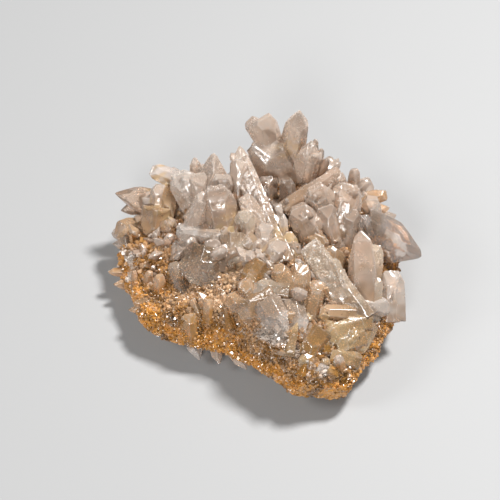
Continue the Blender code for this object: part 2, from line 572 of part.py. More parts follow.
def strewn_crystals():
    """The strewn crystals, each standing on the matrix and leaning a little."""
    draw = np.random.default_rng(STREWN_SEED)
    points = matrix_rows()
    first_row = (len(UNDERSIDE) + len(BAND) - 1) * AROUND
    top = points[first_row:-2]
    reach = np.linalg.norm(points[first_row - AROUND : first_row, :2], axis=1)
    share = np.linalg.norm(top[:, :2], axis=1) / np.tile(reach, len(top) // AROUND)
    round_it = np.tile(np.arange(AROUND) / AROUND, len(top) // AROUND)
    found = {}
    for part, (count, turns, shares, breadths) in enumerate(STREWN):
        fits = (round_it > turns[0]) & (round_it < turns[1]) & (share > shares[0]) & (share < shares[1])
        for k, place in enumerate(draw.choice(top[fits], count, replace=False)):
            lean = unit(matrix_outward(place) + draw.normal(size=3) * STREWN_LEAN)
            breadth = draw.uniform(*breadths)
            depth = breadth * STREWN_DEPTH
            tip = place + lean * breadth * draw.uniform(*STREWN_LENGTH)
            turn = draw.uniform(-90, 90)
            end = STREWN_ENDS[k % len(STREWN_ENDS)]
            found[f"strewn_{part}_{k}"] = Crystal(place, tip, breadth, depth, turn, end, SHORT)
    return found


def apart(solid, planes, room):
    """Whether one of the planes, moved out by the room, has the whole solid beyond it."""
    points = np.array([vertex.co for vertex in solid.data.vertices]) / MM
    normals, offsets = planes
    return bool(((points @ normals.T).min(axis=0) > offsets + room).any())


def drop_chips(target):
    """Takes away the loose bits that cuts left, which are smaller each way than a real crystal."""
    shape = bmesh.new()
    shape.from_mesh(target.data)
    todo = set(shape.verts)
    while todo:
        piece = {todo.pop()}
        edge_of_piece = list(piece)
        while edge_of_piece:
            vertex = edge_of_piece.pop()
            found = {edge.other_vert(vertex) for edge in vertex.link_edges} - piece
            piece |= found
            edge_of_piece += found
        todo -= piece
        points = np.array([vertex.co for vertex in piece]) / MM
        if (np.ptp(points, axis=0) < CHIP).all():
            bmesh.ops.delete(shape, geom=list(piece), context="VERTS")
    shape.to_mesh(target.data)
    shape.free()


def make_matrix(crust):
    matrix = matrix_object("matrix")
    combine(matrix, "UNION", [cut_solid("crust", *planes) for planes in crust])
    give_finish(matrix, "stained_matrix")


def make_spray(name, crystals, earlier):
    """One spray, its crystals joined, cut back from the matrix and from what was made before it."""
    solids = [cut_solid(name, *planes) for planes in crystals]
    cutters = [matrix_object("room", GAP * OBLIQUE)]
    for normals, offsets in earlier:
        if not all(apart(solid, (normals, offsets), GAP) for solid in solids):
            cutters.append(cut_solid("room", normals, offsets + GAP))
    if len(solids) > 1:
        combine(solids[0], "UNION", solids[1:])
    combine(solids[0], "DIFFERENCE", cutters)
    drop_chips(solids[0])
    give_finish(solids[0], finish_of(name))


def main():
    clear_scene()
    sprays = {
        name: [crystal_planes(key, crystal) for key, crystal in crystals.items()]
        for name, crystals in SPRAYS.items()
    }
    crust = [crystal_planes(key, crystal) for key, crystal in CRUST.items()]
    for key, crystal in strewn_crystals().items():
        planes = crystal_planes(key, crystal)
        solid = cut_solid(key, *planes)
        if all(apart(solid, other, STREWN_ROOM) for others in sprays.values() for other in others):
            crust.append(planes)
        bpy.data.objects.remove(solid, do_unlink=True)
    make_matrix(crust)
    earlier = list(crust)
    for name, crystals in sprays.items():
        make_spray(name, crystals, earlier)
        earlier += crystals


main()
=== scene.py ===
"""The looks of a celestite cluster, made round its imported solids.

Lengths are in millimetres and turned into metres where a mesh is made. +Z is up, +X runs along the
cluster's length and -Y is the side that the camera sees. Every crystal is worked out from the same
place, size and habit that its solid has, with finer faces, growth steps and chips.
"""

import math
from collections import namedtuple

import bpy
import numpy as np
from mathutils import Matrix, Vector


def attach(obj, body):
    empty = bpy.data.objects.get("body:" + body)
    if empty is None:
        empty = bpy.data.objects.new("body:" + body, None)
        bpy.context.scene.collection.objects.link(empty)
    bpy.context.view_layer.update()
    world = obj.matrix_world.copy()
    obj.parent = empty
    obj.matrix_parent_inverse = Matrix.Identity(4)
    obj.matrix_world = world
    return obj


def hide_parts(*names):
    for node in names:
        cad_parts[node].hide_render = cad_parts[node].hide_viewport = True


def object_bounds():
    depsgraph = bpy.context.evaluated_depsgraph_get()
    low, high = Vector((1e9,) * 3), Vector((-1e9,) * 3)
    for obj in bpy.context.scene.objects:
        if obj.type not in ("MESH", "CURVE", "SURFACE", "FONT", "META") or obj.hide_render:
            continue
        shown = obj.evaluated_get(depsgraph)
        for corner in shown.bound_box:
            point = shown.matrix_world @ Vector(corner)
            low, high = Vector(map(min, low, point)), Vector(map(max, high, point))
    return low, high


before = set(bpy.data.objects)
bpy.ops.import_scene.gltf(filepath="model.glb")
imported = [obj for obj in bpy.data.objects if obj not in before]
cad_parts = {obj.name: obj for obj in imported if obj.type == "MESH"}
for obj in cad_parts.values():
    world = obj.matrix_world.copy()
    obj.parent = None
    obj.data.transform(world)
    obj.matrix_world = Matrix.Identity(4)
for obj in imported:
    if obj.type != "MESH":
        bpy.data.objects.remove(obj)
CAD_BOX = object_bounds()

MM = 0.001

# The matrix's rim, anticlockwise from the right: where it stands, and the heights of its lower and
# upper edges.
RIM = (
    (43, 2, 6, 15),
    (41, 14, 6, 15),
    (33, 25, 6, 16),
    (20, 33, 6, 17),
    (4, 37, 6, 17),
    (-12, 34, 6, 15),
    (-27, 30, 6, 13),
    (-38, 22, 5, 11),
    (-43, 11, 5, 11),
    (-41, 0, 5, 11),
    (-36, -10, 5, 11),
    (-28, -19, 5, 11),
    (-16, -23, 5, 12),
    (-5, -27, 5, 13),
    (4, -34, 4, 15),
    (12, -41, 4, 15),
    (21, -40, 4, 14),
    (29, -36, 4, 13),
    (35, -26, 5, 13),
    (41, -13, 6, 13),
)

# The height of the matrix's crown, and how many points its surface has round it.
CROWN_HEIGHT = 26
AROUND = 32

# The matrix's profile, from the middle of its underside over the rim to the middle of its top: the
# share of the way out to the rim, and the shares that the rim's lower edge, its upper edge and the
# crown have in the height. The last number says how much the lumps move it.
UNDERSIDE = ((0.5, 0.0), (0.65, 0.25), (0.8, 0.6), (0.9, 0.85), (0.96, 1.0))
BAND = ((0.98, 0.25), (0.99, 0.6), (0.95, 1.0))
TOP_SHARES = (0.87, 0.78, 0.68, 0.56, 0.43, 0.29, 0.14)
TOP_FALL = 1.5

# An egg shape that stands for the matrix where a direction straight out of it is needed.
MATRIX_MIDDLE = np.array([0.0, 5.0, 10.0])
MATRIX_REACH = np.array([45.0, 42.0, 16.0])

# Broad swellings and hollows of the matrix's top, which lies above this height: centre, height and
# spread.
TOP_LEVEL = 12
SWELLS = (
    (8, 28, 3.5, 9.0),
    (-26, -3, -2.5, 10.0),
)

# Lumps all over the matrix: wavelength and height.
LUMPS = ((17.0, 0.9), (10.0, 0.8))
WAVES_EACH = 5
LUMPS_SEED = 7

# The direction that a crystal's broad face looks in, before its turn.
FACE_ON = np.array([0.0, -math.cos(math.radians(50)), math.sin(math.radians(50))])

# How far a crystal runs on into the matrix behind its root. One that points down or lies flat runs
# on less, so that its other end stays hidden.
SINK = 7.0
SHORT = 2.5

# A crystal's place, size and habit: its breadth and depth across its length, its turn about its
# length in degrees, the kind of end that it has, and how far it runs on behind its root.
Crystal = namedtuple("Crystal", "root tip breadth depth turn end sink", defaults=(SINK,))

# Each spray's crystals. Those that overlap have grown together and are one solid.
SPRAYS = {
    "crown_spray": {
        "horn_left": Crystal((6, 35, 22), (2, 36, 44), 9.5, 5.5, 10, "blunt"),
        "horn_hook": Crystal((3, 37, 33), (-2, 37, 42), 6.5, 4.5, 0, "blunt"),
        "horn_right": Crystal((10, 36, 22), (13, 35, 48), 8.5, 6.0, -10, "point"),
        "crown_slab": Crystal((9, 30, 20), (2, 35, 36), 14.0, 8.0, 0, "blunt"),
        "crown_right": Crystal((14, 30, 20), (17, 32, 38), 8.5, 6.0, 15, "point"),
        "crown_step_1": Crystal((18, 34, 24), (18, 33, 38), 3.0, 2.5, 0, "point"),
        "crown_step_2": Crystal((19, 33, 24), (20, 32, 35), 3.0, 2.5, 20, "point"),
        "crown_step_3": Crystal((20, 31, 23), (22, 32, 31), 3.0, 2.5, 0, "point"),
        "crown_step_4": Crystal((20, 30, 22), (24, 31, 27), 3.5, 3.0, 0, "point"),
    },
    "left_ridge_spray": {
        "left_pyramid": Crystal((-14, 24, 18), (-13, 30, 36), 13.0, 10.0, 0, "pyramid"),
        "left_small": Crystal((-18, 30, 20), (-19, 31, 32), 4.5, 3.5, 0, "point"),
        "ridge_grey": Crystal((-20, 30, 20), (-33, 34, 23), 6.5, 4.5, 0, "blunt"),
        "ridge_white": Crystal((-19, 23, 21), (-24, 27, 29), 10.5, 7.0, 0, "blunt"),
        "ridge_mid": Crystal((-17, 22, 22), (-18, 26, 30), 9.0, 6.5, 0, "blunt"),
        "pyramid_foot": Crystal((-11, 20, 22), (-10, 23, 32), 9.0, 6.5, 0, "blunt"),
        "ridge_yellow": Crystal((-27, 25, 21), (-29, 27, 24), 5.5, 4.5, 0, "blunt", SHORT),
        "ridge_block_1": Crystal((-31, 24, 20), (-36, 25, 18), 6.5, 5.0, 0, "blunt", SHORT),
        "ridge_block_2": Crystal((-30, 24, 22), (-30, 26, 25), 6.0, 5.0, 0, "blunt"),
        "ridge_wedge": Crystal((-28, 24, 22), (-26, 18, 18), 6.0, 4.0, 0, "point", SHORT),
        "brown_block": Crystal((-31, 18, 20), (-32, 14, 14), 8.5, 7.0, 0, "blunt", SHORT),
    },
    "left_point_spray": {
        "left_point": Crystal((-31, 25, 17), (-44, 28, 19), 8.5, 6.0, 0, "point"),
        "left_under": Crystal((-37, 27, 13), (-43, 27, 12), 4.0, 3.0, 0, "point"),
    },
    "left_rim_spray": {
        "left_dome": Crystal((-36, 17, 13), (-44, 18, 13), 8.5, 6.0, 0, "blunt"),
        "left_white_1": Crystal((-41, 18, 9), (-45, 19, 11), 3.5, 3.0, 0, "blunt"),
        "left_white_2": Crystal((-41, 15, 9), (-45, 15, 10), 3.5, 2.5, 0, "point"),
        "left_white_3": Crystal((-40, 12, 13), (-39, 6, 11), 3.0, 2.0, 0, "chisel", SHORT),
    },
    "centre_left_spray": {
        "brown_faced": Crystal((-10, 8, 22), (-12, 14, 37), 11.5, 8.5, 0, "blunt"),
        "frost_rim": Crystal((-20, 8, 22), (-15, 13, 35), 6.5, 5.0, 0, "blunt"),
        "white_thumb": Crystal((-13, 5, 25), (-24, 8, 24), 7.0, 6.0, 0, "blunt", SHORT),
        "white_thumb_2": Crystal((-15, 6, 25), (-18, 2, 22), 5.0, 4.0, 0, "point", SHORT),
        "small_white": Crystal((-21, 2, 21), (-25, 6, 20), 5.0, 4.0, 0, "blunt", SHORT),
        "small_white_2": Crystal((-21, 3, 18), (-25, 5, 15), 3.0, 2.5, 0, "point", SHORT),
        "below_face": Crystal((-9, 2, 22), (-13, 3, 27), 8.5, 7.0, 0, "blunt"),
    },
    "long_lath_spray": {
        "long_lath": Crystal((5, 1, 25), (-5, 29, 34), 8.0, 4.0, -25, "chisel"),
        "lath_partner": Crystal((3, 3, 26), (-4, 14, 33), 6.5, 4.0, 10, "blunt"),
        "lath_foot": Crystal((2, 10, 26), (5, -1, 27), 6.5, 3.5, 0, "blunt", SHORT),
        "lath_side": Crystal((-6, 20, 25), (-5, 27, 35), 6.0, 5.0, 0, "blunt"),
        "grey_side": Crystal((-9, 24, 25), (-7, 26, 31), 5.5, 4.5, 0, "point"),
        "yellow_nook": Crystal((-6, 2, 24), (-7, 6, 29), 6.5, 5.0, 0, "blunt"),
        "pale_wall": Crystal((-2, 4, 25), (-4, 8, 33), 7.5, 6.0, 0, "blunt"),
        "lath_root": Crystal((2, 0, 24), (3, 5, 31), 7.5, 6.0, 0, "blunt"),
        "yellow_block": Crystal((10, 0, 24), (9, 4, 28), 6.0, 4.0, 0, "blunt"),
        "bright_prism": Crystal((8, 4, 28), (8, 8, 32), 3.0, 2.5, 0, "point"),
        "corner_block": Crystal((-6, 1, 27), (-6, -5, 23), 10.0, 7.5, 0, "blunt", SHORT),
        "corner_right": Crystal((-2, 0, 27), (3, -3, 24), 6.0, 5.0, 0, "point", SHORT),
        "white_tooth": Crystal((-3, 3, 29), (-3, -1, 26), 2.5, 2.5, 0, "blunt", SHORT),
        "pale_tooth": Crystal((-6, 4, 28), (-8, 0, 25), 3.5, 3.0, 0, "blunt", SHORT),
    },
    "glass_block_spray": {
        "glass_block": Crystal((-14, -2, 24), (-17, -9, 19), 12.0, 8.5, 0, "chisel", SHORT),
        "glass_left": Crystal((-18, -2, 22), (-23, -4, 18), 6.5, 5.0, 0, "blunt", SHORT),
        "glass_low_2": Crystal((-23, -5, 17), (-25, -1, 20), 5.5, 4.5, 0, "blunt"),
        "glass_chip": Crystal((-11, -2, 20), (-11, -6, 17), 4.0, 2.5, 0, "point", SHORT),
    },
    "nook_spray": {
        "dark_prism": Crystal((3, 18, 24), (3, 24, 31), 7.0, 5.5, 0, "blunt"),
        "grey_round": Crystal((10, 17, 24), (9, 21, 33), 5.5, 5.0, 0, "blunt"),
        "nook_1": Crystal((10, 14, 24), (9, 16, 28), 4.5, 3.5, 0, "point"),
        "nook_2": Crystal((9, 14, 26), (9, 15, 31), 3.0, 2.5, 0, "point"),
        "nook_foot": Crystal((7, 15, 20), (7, 17, 27), 12.0, 8.0, 0, "blunt"),
    },
    "ball_spray": {
        "ball_left": Crystal((16, 6, 26), (12, 10, 33), 9.5, 7.0, 0, "blunt"),
        "ball_blade": Crystal((14, 16, 30), (25, 22, 36), 4.5, 2.0, 0, "chisel"),
        "ball_front": Crystal((23, 6, 23), (20, 11, 32), 9.5, 7.5, 0, "blunt"),
        "ball_low": Crystal((18, 1, 24), (19, 3, 28), 7.5, 6.0, 0, "blunt"),
        "ball_wall": Crystal((27, 7, 22), (28, 11, 31), 8.0, 6.5, 0, "blunt"),
        "ball_mid": Crystal((21, 12, 28), (17, 15, 36), 10.0, 7.0, 0, "blunt"),
        "ball_top": Crystal((26, 12, 28), (28, 17, 35), 10.5, 8.0, 0, "blunt"),
        "ball_right": Crystal((28, 12, 24), (28, 15, 35), 6.0, 5.0, 0, "blunt"),
        "ball_back": Crystal((25, 21, 26), (26, 24, 33), 5.0, 4.0, 0, "point"),
        "ball_foot": Crystal((20, 13, 20), (20, 16, 31), 19.0, 12.0, 0, "blunt"),
    },
    "right_back_spray": {
        "top_tooth_1": Crystal((30, 25, 25), (30, 27, 31), 4.0, 3.0, 0, "blunt"),
        "top_tooth_2": Crystal((30, 21, 25), (34, 24, 29), 3.5, 2.5, 0, "blunt"),
        "tan_chisel": Crystal((32, 20, 24), (40, 22, 25), 5.0, 3.5, 0, "chisel"),
        "tan_chisel_2": Crystal((32, 16, 23), (41, 19, 22), 4.0, 3.0, 0, "point"),
        "tan_back": Crystal((35, 16, 23), (35, 18, 28), 6.5, 6.0, 0, "blunt"),
        "right_back_foot": Crystal((30, 21, 18), (31, 23, 27), 9.0, 7.0, 0, "blunt"),
    },
    "right_point_spray": {
        "right_point": Crystal((34, 10, 21), (51, 6, 14), 14.5, 11.0, 0, "point", SHORT),
        "round_bead": Crystal((33, 6, 25), (32, 10, 29), 4.5, 4.0, 0, "blunt"),
    },
    "leaf_spray": {
        "leaf": Crystal((31, -14, 18), (31, 2, 32), 8.5, 3.5, 0, "leaf", SHORT),
        "leaf_side": Crystal((34, -6, 22), (35, 0, 27), 6.5, 4.5, 0, "blunt"),
        "leaf_low": Crystal((34, -13, 18), (35, -8, 22), 6.0, 5.0, 0, "blunt"),
    },
    "front_blade_spray": {
        "front_blade": Crystal((29, -19, 18), (15, -4, 32), 8.5, 2.5, -18, "square", SHORT),
        "blade_back": Crystal((26, -16, 20), (22, -8, 30), 5.0, 3.0, 0, "blunt"),
        "blade_foot": Crystal((26, -20, 19), (18, -21, 21), 6.0, 4.0, 0, "blunt", SHORT),
        "brown_nook": Crystal((23, -4, 23), (21, -2, 28), 7.5, 6.0, 0, "blunt"),
        "pale_nook": Crystal((24, -11, 22), (23, -9, 26), 7.5, 6.0, 0, "blunt"),
    },
    "right_chunk_spray": {
        "right_chunk": Crystal((40, -14, 12), (40, -5, 21), 8.5, 5.5, 0, "blunt", SHORT),
        "right_foot": Crystal((32, -16, 17), (39, -14, 15), 7.0, 5.5, 0, "blunt", SHORT),
    },
    "pillar_spray": {
        "pillar_1": Crystal((9, -16, 24), (6, -9, 29), 6.5, 4.5, 0, "blunt"),
        "pillar_2": Crystal((12, -14, 23), (13, -8, 28), 7.5, 5.5, 0, "blunt"),
        "pillar_3": Crystal((16, -18, 21), (18, -12, 25), 6.0, 4.5, 0, "chisel"),
        "pillar_foot": Crystal((10, -15, 17), (11, -13, 24), 13.0, 6.0, 0, "blunt"),
    },
    "brown_glass_spray": {
        "brown_glass": Crystal((0, -9, 26), (-3, -14, 24), 7.5, 6.0, 0, "blunt", SHORT),
        "brown_glass_2": Crystal((-1, -15, 22), (-4, -12, 26), 7.5, 6.0, 0, "blunt"),
    },
    "tan_slab_spray": {
        "tan_slab": Crystal((4, -18, 23), (-5, -19, 18), 10.5, 7.5, 0, "blunt", SHORT),
        "tan_ridge": Crystal((11, -19, 23), (4, -19, 23), 4.5, 3.0, 0, "chisel", SHORT),
        "slab_top": Crystal((7, -16, 25), (-1, -15, 25), 6.5, 5.0, 0, "blunt", SHORT),
        "slab_side": Crystal((-4, -17, 21), (-9, -17, 22), 7.0, 6.0, 0, "blunt"),
        "fang_left": Crystal((5, -24, 24), (9, -31, 22), 8.0, 5.5, 0, "point", 5.0),
        "fang_right": Crystal((11, -23, 22), (13, -31, 20), 7.5, 5.0, 0, "point", 5.0),
    },
    "front_pale_spray": {
        "amber_face": Crystal((17, -29, 20), (13, -34, 18), 8.0, 5.5, 0, "blunt", SHORT),
        "front_pale_1": Crystal((28, -24, 17), (20, -29, 20), 7.5, 4.0, 0, "blunt", SHORT),
        "front_pale_2": Crystal((29, -27, 16), (23, -31, 18), 6.5, 3.0, 0, "blunt", SHORT),
        "front_pale_3": Crystal((27, -33, 14), (21, -33, 17), 6.0, 3.0, 0, "blunt", SHORT),
        "front_pale_4": Crystal((31, -22, 17), (25, -24, 19), 6.0, 3.0, 0, "blunt", SHORT),
        "front_pale_5": Crystal((32, -23, 15), (29, -30, 14), 5.5, 3.0, 0, "blunt", SHORT),
        "front_pale_foot": Crystal((25, -27, 15), (24, -27, 19), 13.0, 9.0, 0, "blunt"),
    },
    "back_left_spray": {
        "back_left_1": Crystal((-22, 26, 16), (-26, 37, 22), 7.0, 5.0, 0, "point"),
        "back_left_2": Crystal((-16, 28, 16), (-16, 39, 20), 6.0, 4.5, 20, "blunt"),
        "back_left_3": Crystal((-27, 25, 13), (-35, 33, 14), 5.0, 4.0, -15, "point", SHORT),
        "back_left_foot": Crystal((-22, 27, 14), (-23, 32, 19), 15.0, 9.0, 0, "blunt"),
    },
    "back_middle_spray": {
        "back_middle_1": Crystal((-4, 31, 18), (-5, 40, 28), 8.0, 6.0, 0, "point"),
        "back_middle_2": Crystal((2, 33, 17), (3, 42, 22), 6.5, 5.0, 25, "blunt"),
        "back_middle_3": Crystal((-8, 32, 14), (-9, 41, 14), 5.0, 4.0, -10, "point", SHORT),
        "back_middle_foot": Crystal((-5, 31, 14), (-6, 37, 19), 12.0, 8.0, 0, "blunt"),
    },
    "back_right_spray": {
        "back_right_1": Crystal((20, 30, 18), (26, 38, 24), 8.5, 6.0, 0, "point"),
        "back_right_2": Crystal((27, 26, 17), (36, 31, 21), 7.0, 5.0, 30, "blunt"),
        "back_right_3": Crystal((13, 33, 15), (15, 42, 16), 6.0, 4.5, 0, "point", SHORT),
        "back_right_4": Crystal((35, 20, 14), (44, 23, 14), 5.5, 4.0, 0, "point", SHORT),
        "back_right_foot_1": Crystal((19, 30, 15), (20, 36, 20), 16.0, 8.0, 0, "blunt"),
        "back_right_foot_2": Crystal((32, 23, 14), (37, 27, 18), 13.0, 8.0, 0, "blunt"),
    },
}

# Small crystals that are one with the matrix.
CRUST = {
    "left_low_1": Crystal((-41, 5, 8), (-46, 5, 8), 3.0, 2.5, 0, "point", SHORT),
    "left_low_2": Crystal((-39, 1, 7), (-44, 1, 7), 3.5, 2.5, 0, "point", SHORT),
    "left_low_3": Crystal((-35, -9, 7), (-39, -8, 6), 2.5, 2.0, 0, "point", SHORT),
    "brown_white_1": Crystal((-33, -3, 13), (-32, -2, 17), 3.0, 2.5, 0, "blunt", SHORT),
    "brown_white_2": Crystal((-37, -2, 12), (-37, 0, 15), 2.0, 1.5, 0, "blunt", SHORT),
    "brown_pale": Crystal((-29, -6, 14), (-29, -4, 18), 4.0, 3.0, 0, "blunt", SHORT),
    "brown_pale_2": Crystal((-15, -15, 18), (-17, -13, 21), 4.5, 3.5, 0, "point", SHORT),
    "brown_white_3": Crystal((-17, -17, 15), (-19, -14, 19), 3.0, 2.5, 0, "blunt", SHORT),
    "brown_white_4": Crystal((-14, -18, 16), (-14, -15, 20), 4.0, 3.0, 0, "blunt", SHORT),
    "amber_lump": Crystal((-19, -20, 10), (-20, -17, 16), 6.5, 5.0, 0, "blunt", SHORT),
    "pale_lath": Crystal((-8, -20, 16), (-10, -13, 21), 2.5, 1.5, 0, "chisel", SHORT),
    "band_white_1": Crystal((2, -25, 20), (3, -25, 22), 3.0, 2.5, 0, "blunt", SHORT),
    "band_white_2": Crystal((5, -29, 20), (6, -29, 22), 3.0, 2.5, 0, "blunt", SHORT),
    "band_white_3": Crystal((9, -33, 18), (10, -33, 21), 3.5, 2.5, 0, "blunt", SHORT),
    "band_white_4": Crystal((13, -36, 16), (14, -36, 19), 3.5, 2.5, 0, "blunt", SHORT),
    "band_white_5": Crystal((16, -38, 15), (20, -36, 17), 3.0, 2.0, 0, "chisel", SHORT),
    "lobe_amber": Crystal((14, -37, 16), (15, -34, 19), 5.0, 3.5, 0, "blunt", SHORT),
    "lobe_pale_1": Crystal((19, -31, 18), (18, -28, 22), 5.0, 3.5, 0, "point", SHORT),
    "lobe_pale_2": Crystal((24, -35, 15), (23, -34, 18), 3.5, 2.5, 0, "blunt", SHORT),
    "lobe_pale_3": Crystal((21, -37, 14), (17, -36, 17), 4.5, 2.5, 0, "point", SHORT),
    "orange_corner": Crystal((34, -19, 9), (40, -17, 10), 5.5, 4.5, 0, "blunt", SHORT),
    "dark_corner": Crystal((26, -30, 8), (31, -31, 6), 4.0, 3.5, 0, "point", SHORT),
    "under_1": Crystal((-20, -17, 7), (-17, -25, 3), 5.0, 4.5, 0, "point", SHORT),
    "under_2": Crystal((-13, -20, 7), (-11, -27, 4), 4.0, 3.5, 0, "point", SHORT),
    "under_3": Crystal((-8, -22, 7), (-3, -29, 4), 4.5, 4.0, 0, "point", SHORT),
}

# Smaller crystals still, strewn over parts of the matrix: how many, the part of the way round it in
# turns (from the right, anticlockwise), the part of the way out to the rim, and their breadths. Each
# leans from straight out of the matrix by a random share, and its length and depth are shares of its
# breadth.
STREWN = (
    (3, (0.45, 0.72), (0.72, 0.97), (2.2, 3.6)),
    (2, (0.72, 0.97), (0.7, 0.97), (2.2, 3.7)),
    (4, (0.0, 0.45), (0.7, 0.97), (2.6, 4.6)),
)
STREWN_SEED = 5
STREWN_LEAN = 0.35
STREWN_LENGTH = (0.7, 1.3)
STREWN_DEPTH = 0.75
STREWN_ENDS = ("spike", "blunt", "chisel")

# A crystal's end planes: the side that each faces, in degrees round the length from the breadth, how
# far it drops from the tip to the crystal's side in breadths, and how far out from the middle it
# starts, as a share of the half breadth or half depth on that side.
ENDS = {
    "point": (
        (0, 0.8, 0.1),
        (180, 0.8, 0.05),
        (60, 0.7, 0.1),
        (120, 0.8, 0.0),
        (240, 0.7, 0.05),
        (300, 0.7, 0.1),
    ),
    "spike": ((5, 0.8, 0.0), (175, 0.9, 0.05), (85, 0.7, 0.05), (275, 0.7, 0.0)),
    "chisel": ((90, 0.5, 0.0), (270, 0.5, 0.05), (0, 0.45, 0.5), (180, 0.3, 0.7)),
    "blunt": ((0, 0.35, 0.45), (180, 0.45, 0.5), (90, 0.4, 0.35), (270, 0.4, 0.4)),
    "pyramid": ((35, 1.15, 0.0), (145, 1.15, 0.05), (215, 1.0, 0.0), (325, 1.0, 0.05)),
    "leaf": (
        (0, 1.3, 0.4),
        (180, 1.3, 0.4),
        (0, 0.5, 0.0),
        (180, 0.5, 0.0),
        (90, 0.5, 0.1),
        (270, 0.5, 0.1),
    ),
    "square": ((0, 0.12, 0.8), (180, 0.15, 0.8), (90, 0.15, 0.5), (270, 0.15, 0.5)),
}
FLAT_ENDS = ("blunt", "square")

# A crystal's side planes: the slant of the four that meet at its two edges, how far out a broad
# crystal's edges are cut flat, how fast it narrows, and how uneven its planes are, as a share and in
# degrees. A sharp crystal keeps its edges uncut, and a slim one has nothing but the slanting four.
# The flat top of a blunt or square end tilts a little at random.
SIDE_SLANT = 40
EDGE_CUT = 0.94
SHARP_BREADTH = 8.5
SLIM_BREADTH = 5.2
TAPER = 0.05
UNEVEN = 0.06
UNEVEN_DEGREES = 8
TOP_TILT = 0.15

# The sprays that are not pale.
CLEAR_SPRAYS = ("left_point_spray", "right_point_spray", "glass_block_spray")
TAN_SPRAYS = ("brown_glass_spray", "pillar_spray", "tan_slab_spray", "front_pale_spray", "left_rim_spray")

# How finely a crystal's surface is made: the distance between its points, and between those of its
# hidden foot.
FINE = 0.24
COARSE = 1.4

# Growth steps on a crystal's faces: the width of the strips and how deep they lie.
STEPS = ((1.3, 0.05), (3.1, 0.09))

# Small facets on a crystal's faces: their size, their relief on a clean face and how much a full
# frost adds to it, and the height that is taken off so that they mostly lie below the face.
FACETS = ((1.9, 0.05, 0.12, 0.2), (0.8, 0.0, 0.12, 0.1))

# Chips on a crystal's tip: how many a slim crystal and a broader one have, and their depth in
# breadths.
SLIM_CHIPS = 3
BROAD_CHIPS = 7
CHIP_DEPTH = (0.02, 0.07)

# How sharp the edges are: the power to which the shares of the way to the planes are summed.
EDGE_SHARPNESS = 80

# Colours of the crystals, the matrix and the frost, as linear red, green and blue.
PALE = np.array([0.95, 0.78, 0.65])
WHITE = np.array([0.97, 0.85, 0.75])
GREY = np.array([0.93, 0.83, 0.76])
TAN = np.array([0.86, 0.58, 0.35])
# The darker brown towards crystal roots: partly iron stain, partly painted shade between the crystals.
ROOT_STAIN_AND_SHADE = np.array([0.50, 0.30, 0.15])
SMOKY = np.array([0.78, 0.60, 0.47])
WARM = np.array([0.92, 0.75, 0.58])
YELLOW = np.array([0.97, 0.69, 0.38])
# Dark brown for the crystals in the nook: painted shade.
NOOK_SHADE = np.array([0.38, 0.27, 0.20])
AMBER = np.array([0.80, 0.46, 0.18])
OCHRE = np.array([0.82, 0.39, 0.08])
BROWN = np.array([0.40, 0.20, 0.06])
DARK = np.array([0.17, 0.08, 0.03])
FROST_COLOUR = (0.92, 0.83, 0.75)

# Uneven patterns made of waves: the wavelength and the number that starts their random draw. The
# first five are on the crystals, the others on the matrix.
FROST_WAVES = (2.5, 34)
WORN_AND_LIT_WAVES = (2.0, 35)
ROOT_WAVES = (5.0, 31)
SHADE_WAVES = (7.0, 36)
STAIN_WAVES = (3.0, 33)
HEIGHT_WAVES = (9.0, 41)
RIM_WAVES = (12.0, 42)
WHITE_WAVES = (3.0, 43)
DARK_WAVES = (5.0, 44)
MOTTLE_WAVES = (2.2, 45)
CRUMB_WAVES = (3.5, 46)
SEAM_WAVES = (14.0, 48)
SEAM_GAP_WAVES = (8.0, 49)

# Crystals whose colour differs from their spray's: the colour, and their names.
TINTED = (
    (
        WHITE,
        (
            "ridge_white", "left_white_1", "left_white_2", "left_white_3", "white_thumb",
            "white_thumb_2", "white_tooth", "bright_prism", "right_chunk", "fang_left", "fang_right",
            "right_foot", "band_white_1", "band_white_2", "band_white_3", "band_white_4",
            "band_white_5",
        ),
    ),
    (PALE, ("lobe_pale_2", "under_2", "under_3")),
    (GREY, ("ridge_grey", "right_point", "under_1")),
    (
        SMOKY,
        (
            "left_point", "left_under", "leaf", "ball_left", "ball_front", "ball_mid", "ball_top",
            "ball_blade", "ball_wall", "grey_side", "lath_partner",
        ),
    ),
    (SMOKY * 0.9, ("brown_faced",)),
    (SMOKY * 0.88, ("long_lath",)),
    (
        WARM,
        (
            "glass_left", "glass_low_2", "leaf_side", "leaf_low", "front_blade", "blade_back",
            "pale_nook", "corner_block", "corner_right", "ball_right", "ball_foot", "lath_foot",
            "pale_wall", "slab_top",
        ),
    ),
    (WARM * 1.03, ("glass_block",)),
    (
        YELLOW,
        (
            "front_pale_1", "front_pale_2", "front_pale_3", "front_pale_4", "front_pale_5",
            "front_pale_foot", "lobe_pale_1", "lobe_pale_3", "yellow_nook", "yellow_block",
            "ridge_yellow",
        ),
    ),
    (
        TAN,
        (
            "left_dome", "brown_pale", "brown_pale_2", "brown_white_3", "brown_white_4",
            "brown_block", "brown_nook", "ridge_wedge", "tan_chisel", "tan_chisel_2", "tan_slab",
            "slab_side", "blade_foot", "ball_low", "dark_corner",
        ),
    ),
    (AMBER, ("amber_face", "amber_lump", "lobe_amber", "brown_glass")),
    (OCHRE, ("orange_corner",)),
    # The nook's crystals are darkened with painted shade.
    (NOOK_SHADE, ("dark_prism", "grey_round", "nook_1", "nook_2", "nook_foot")),
)
TINTS = {name: tint for tint, names in TINTED for name in names}

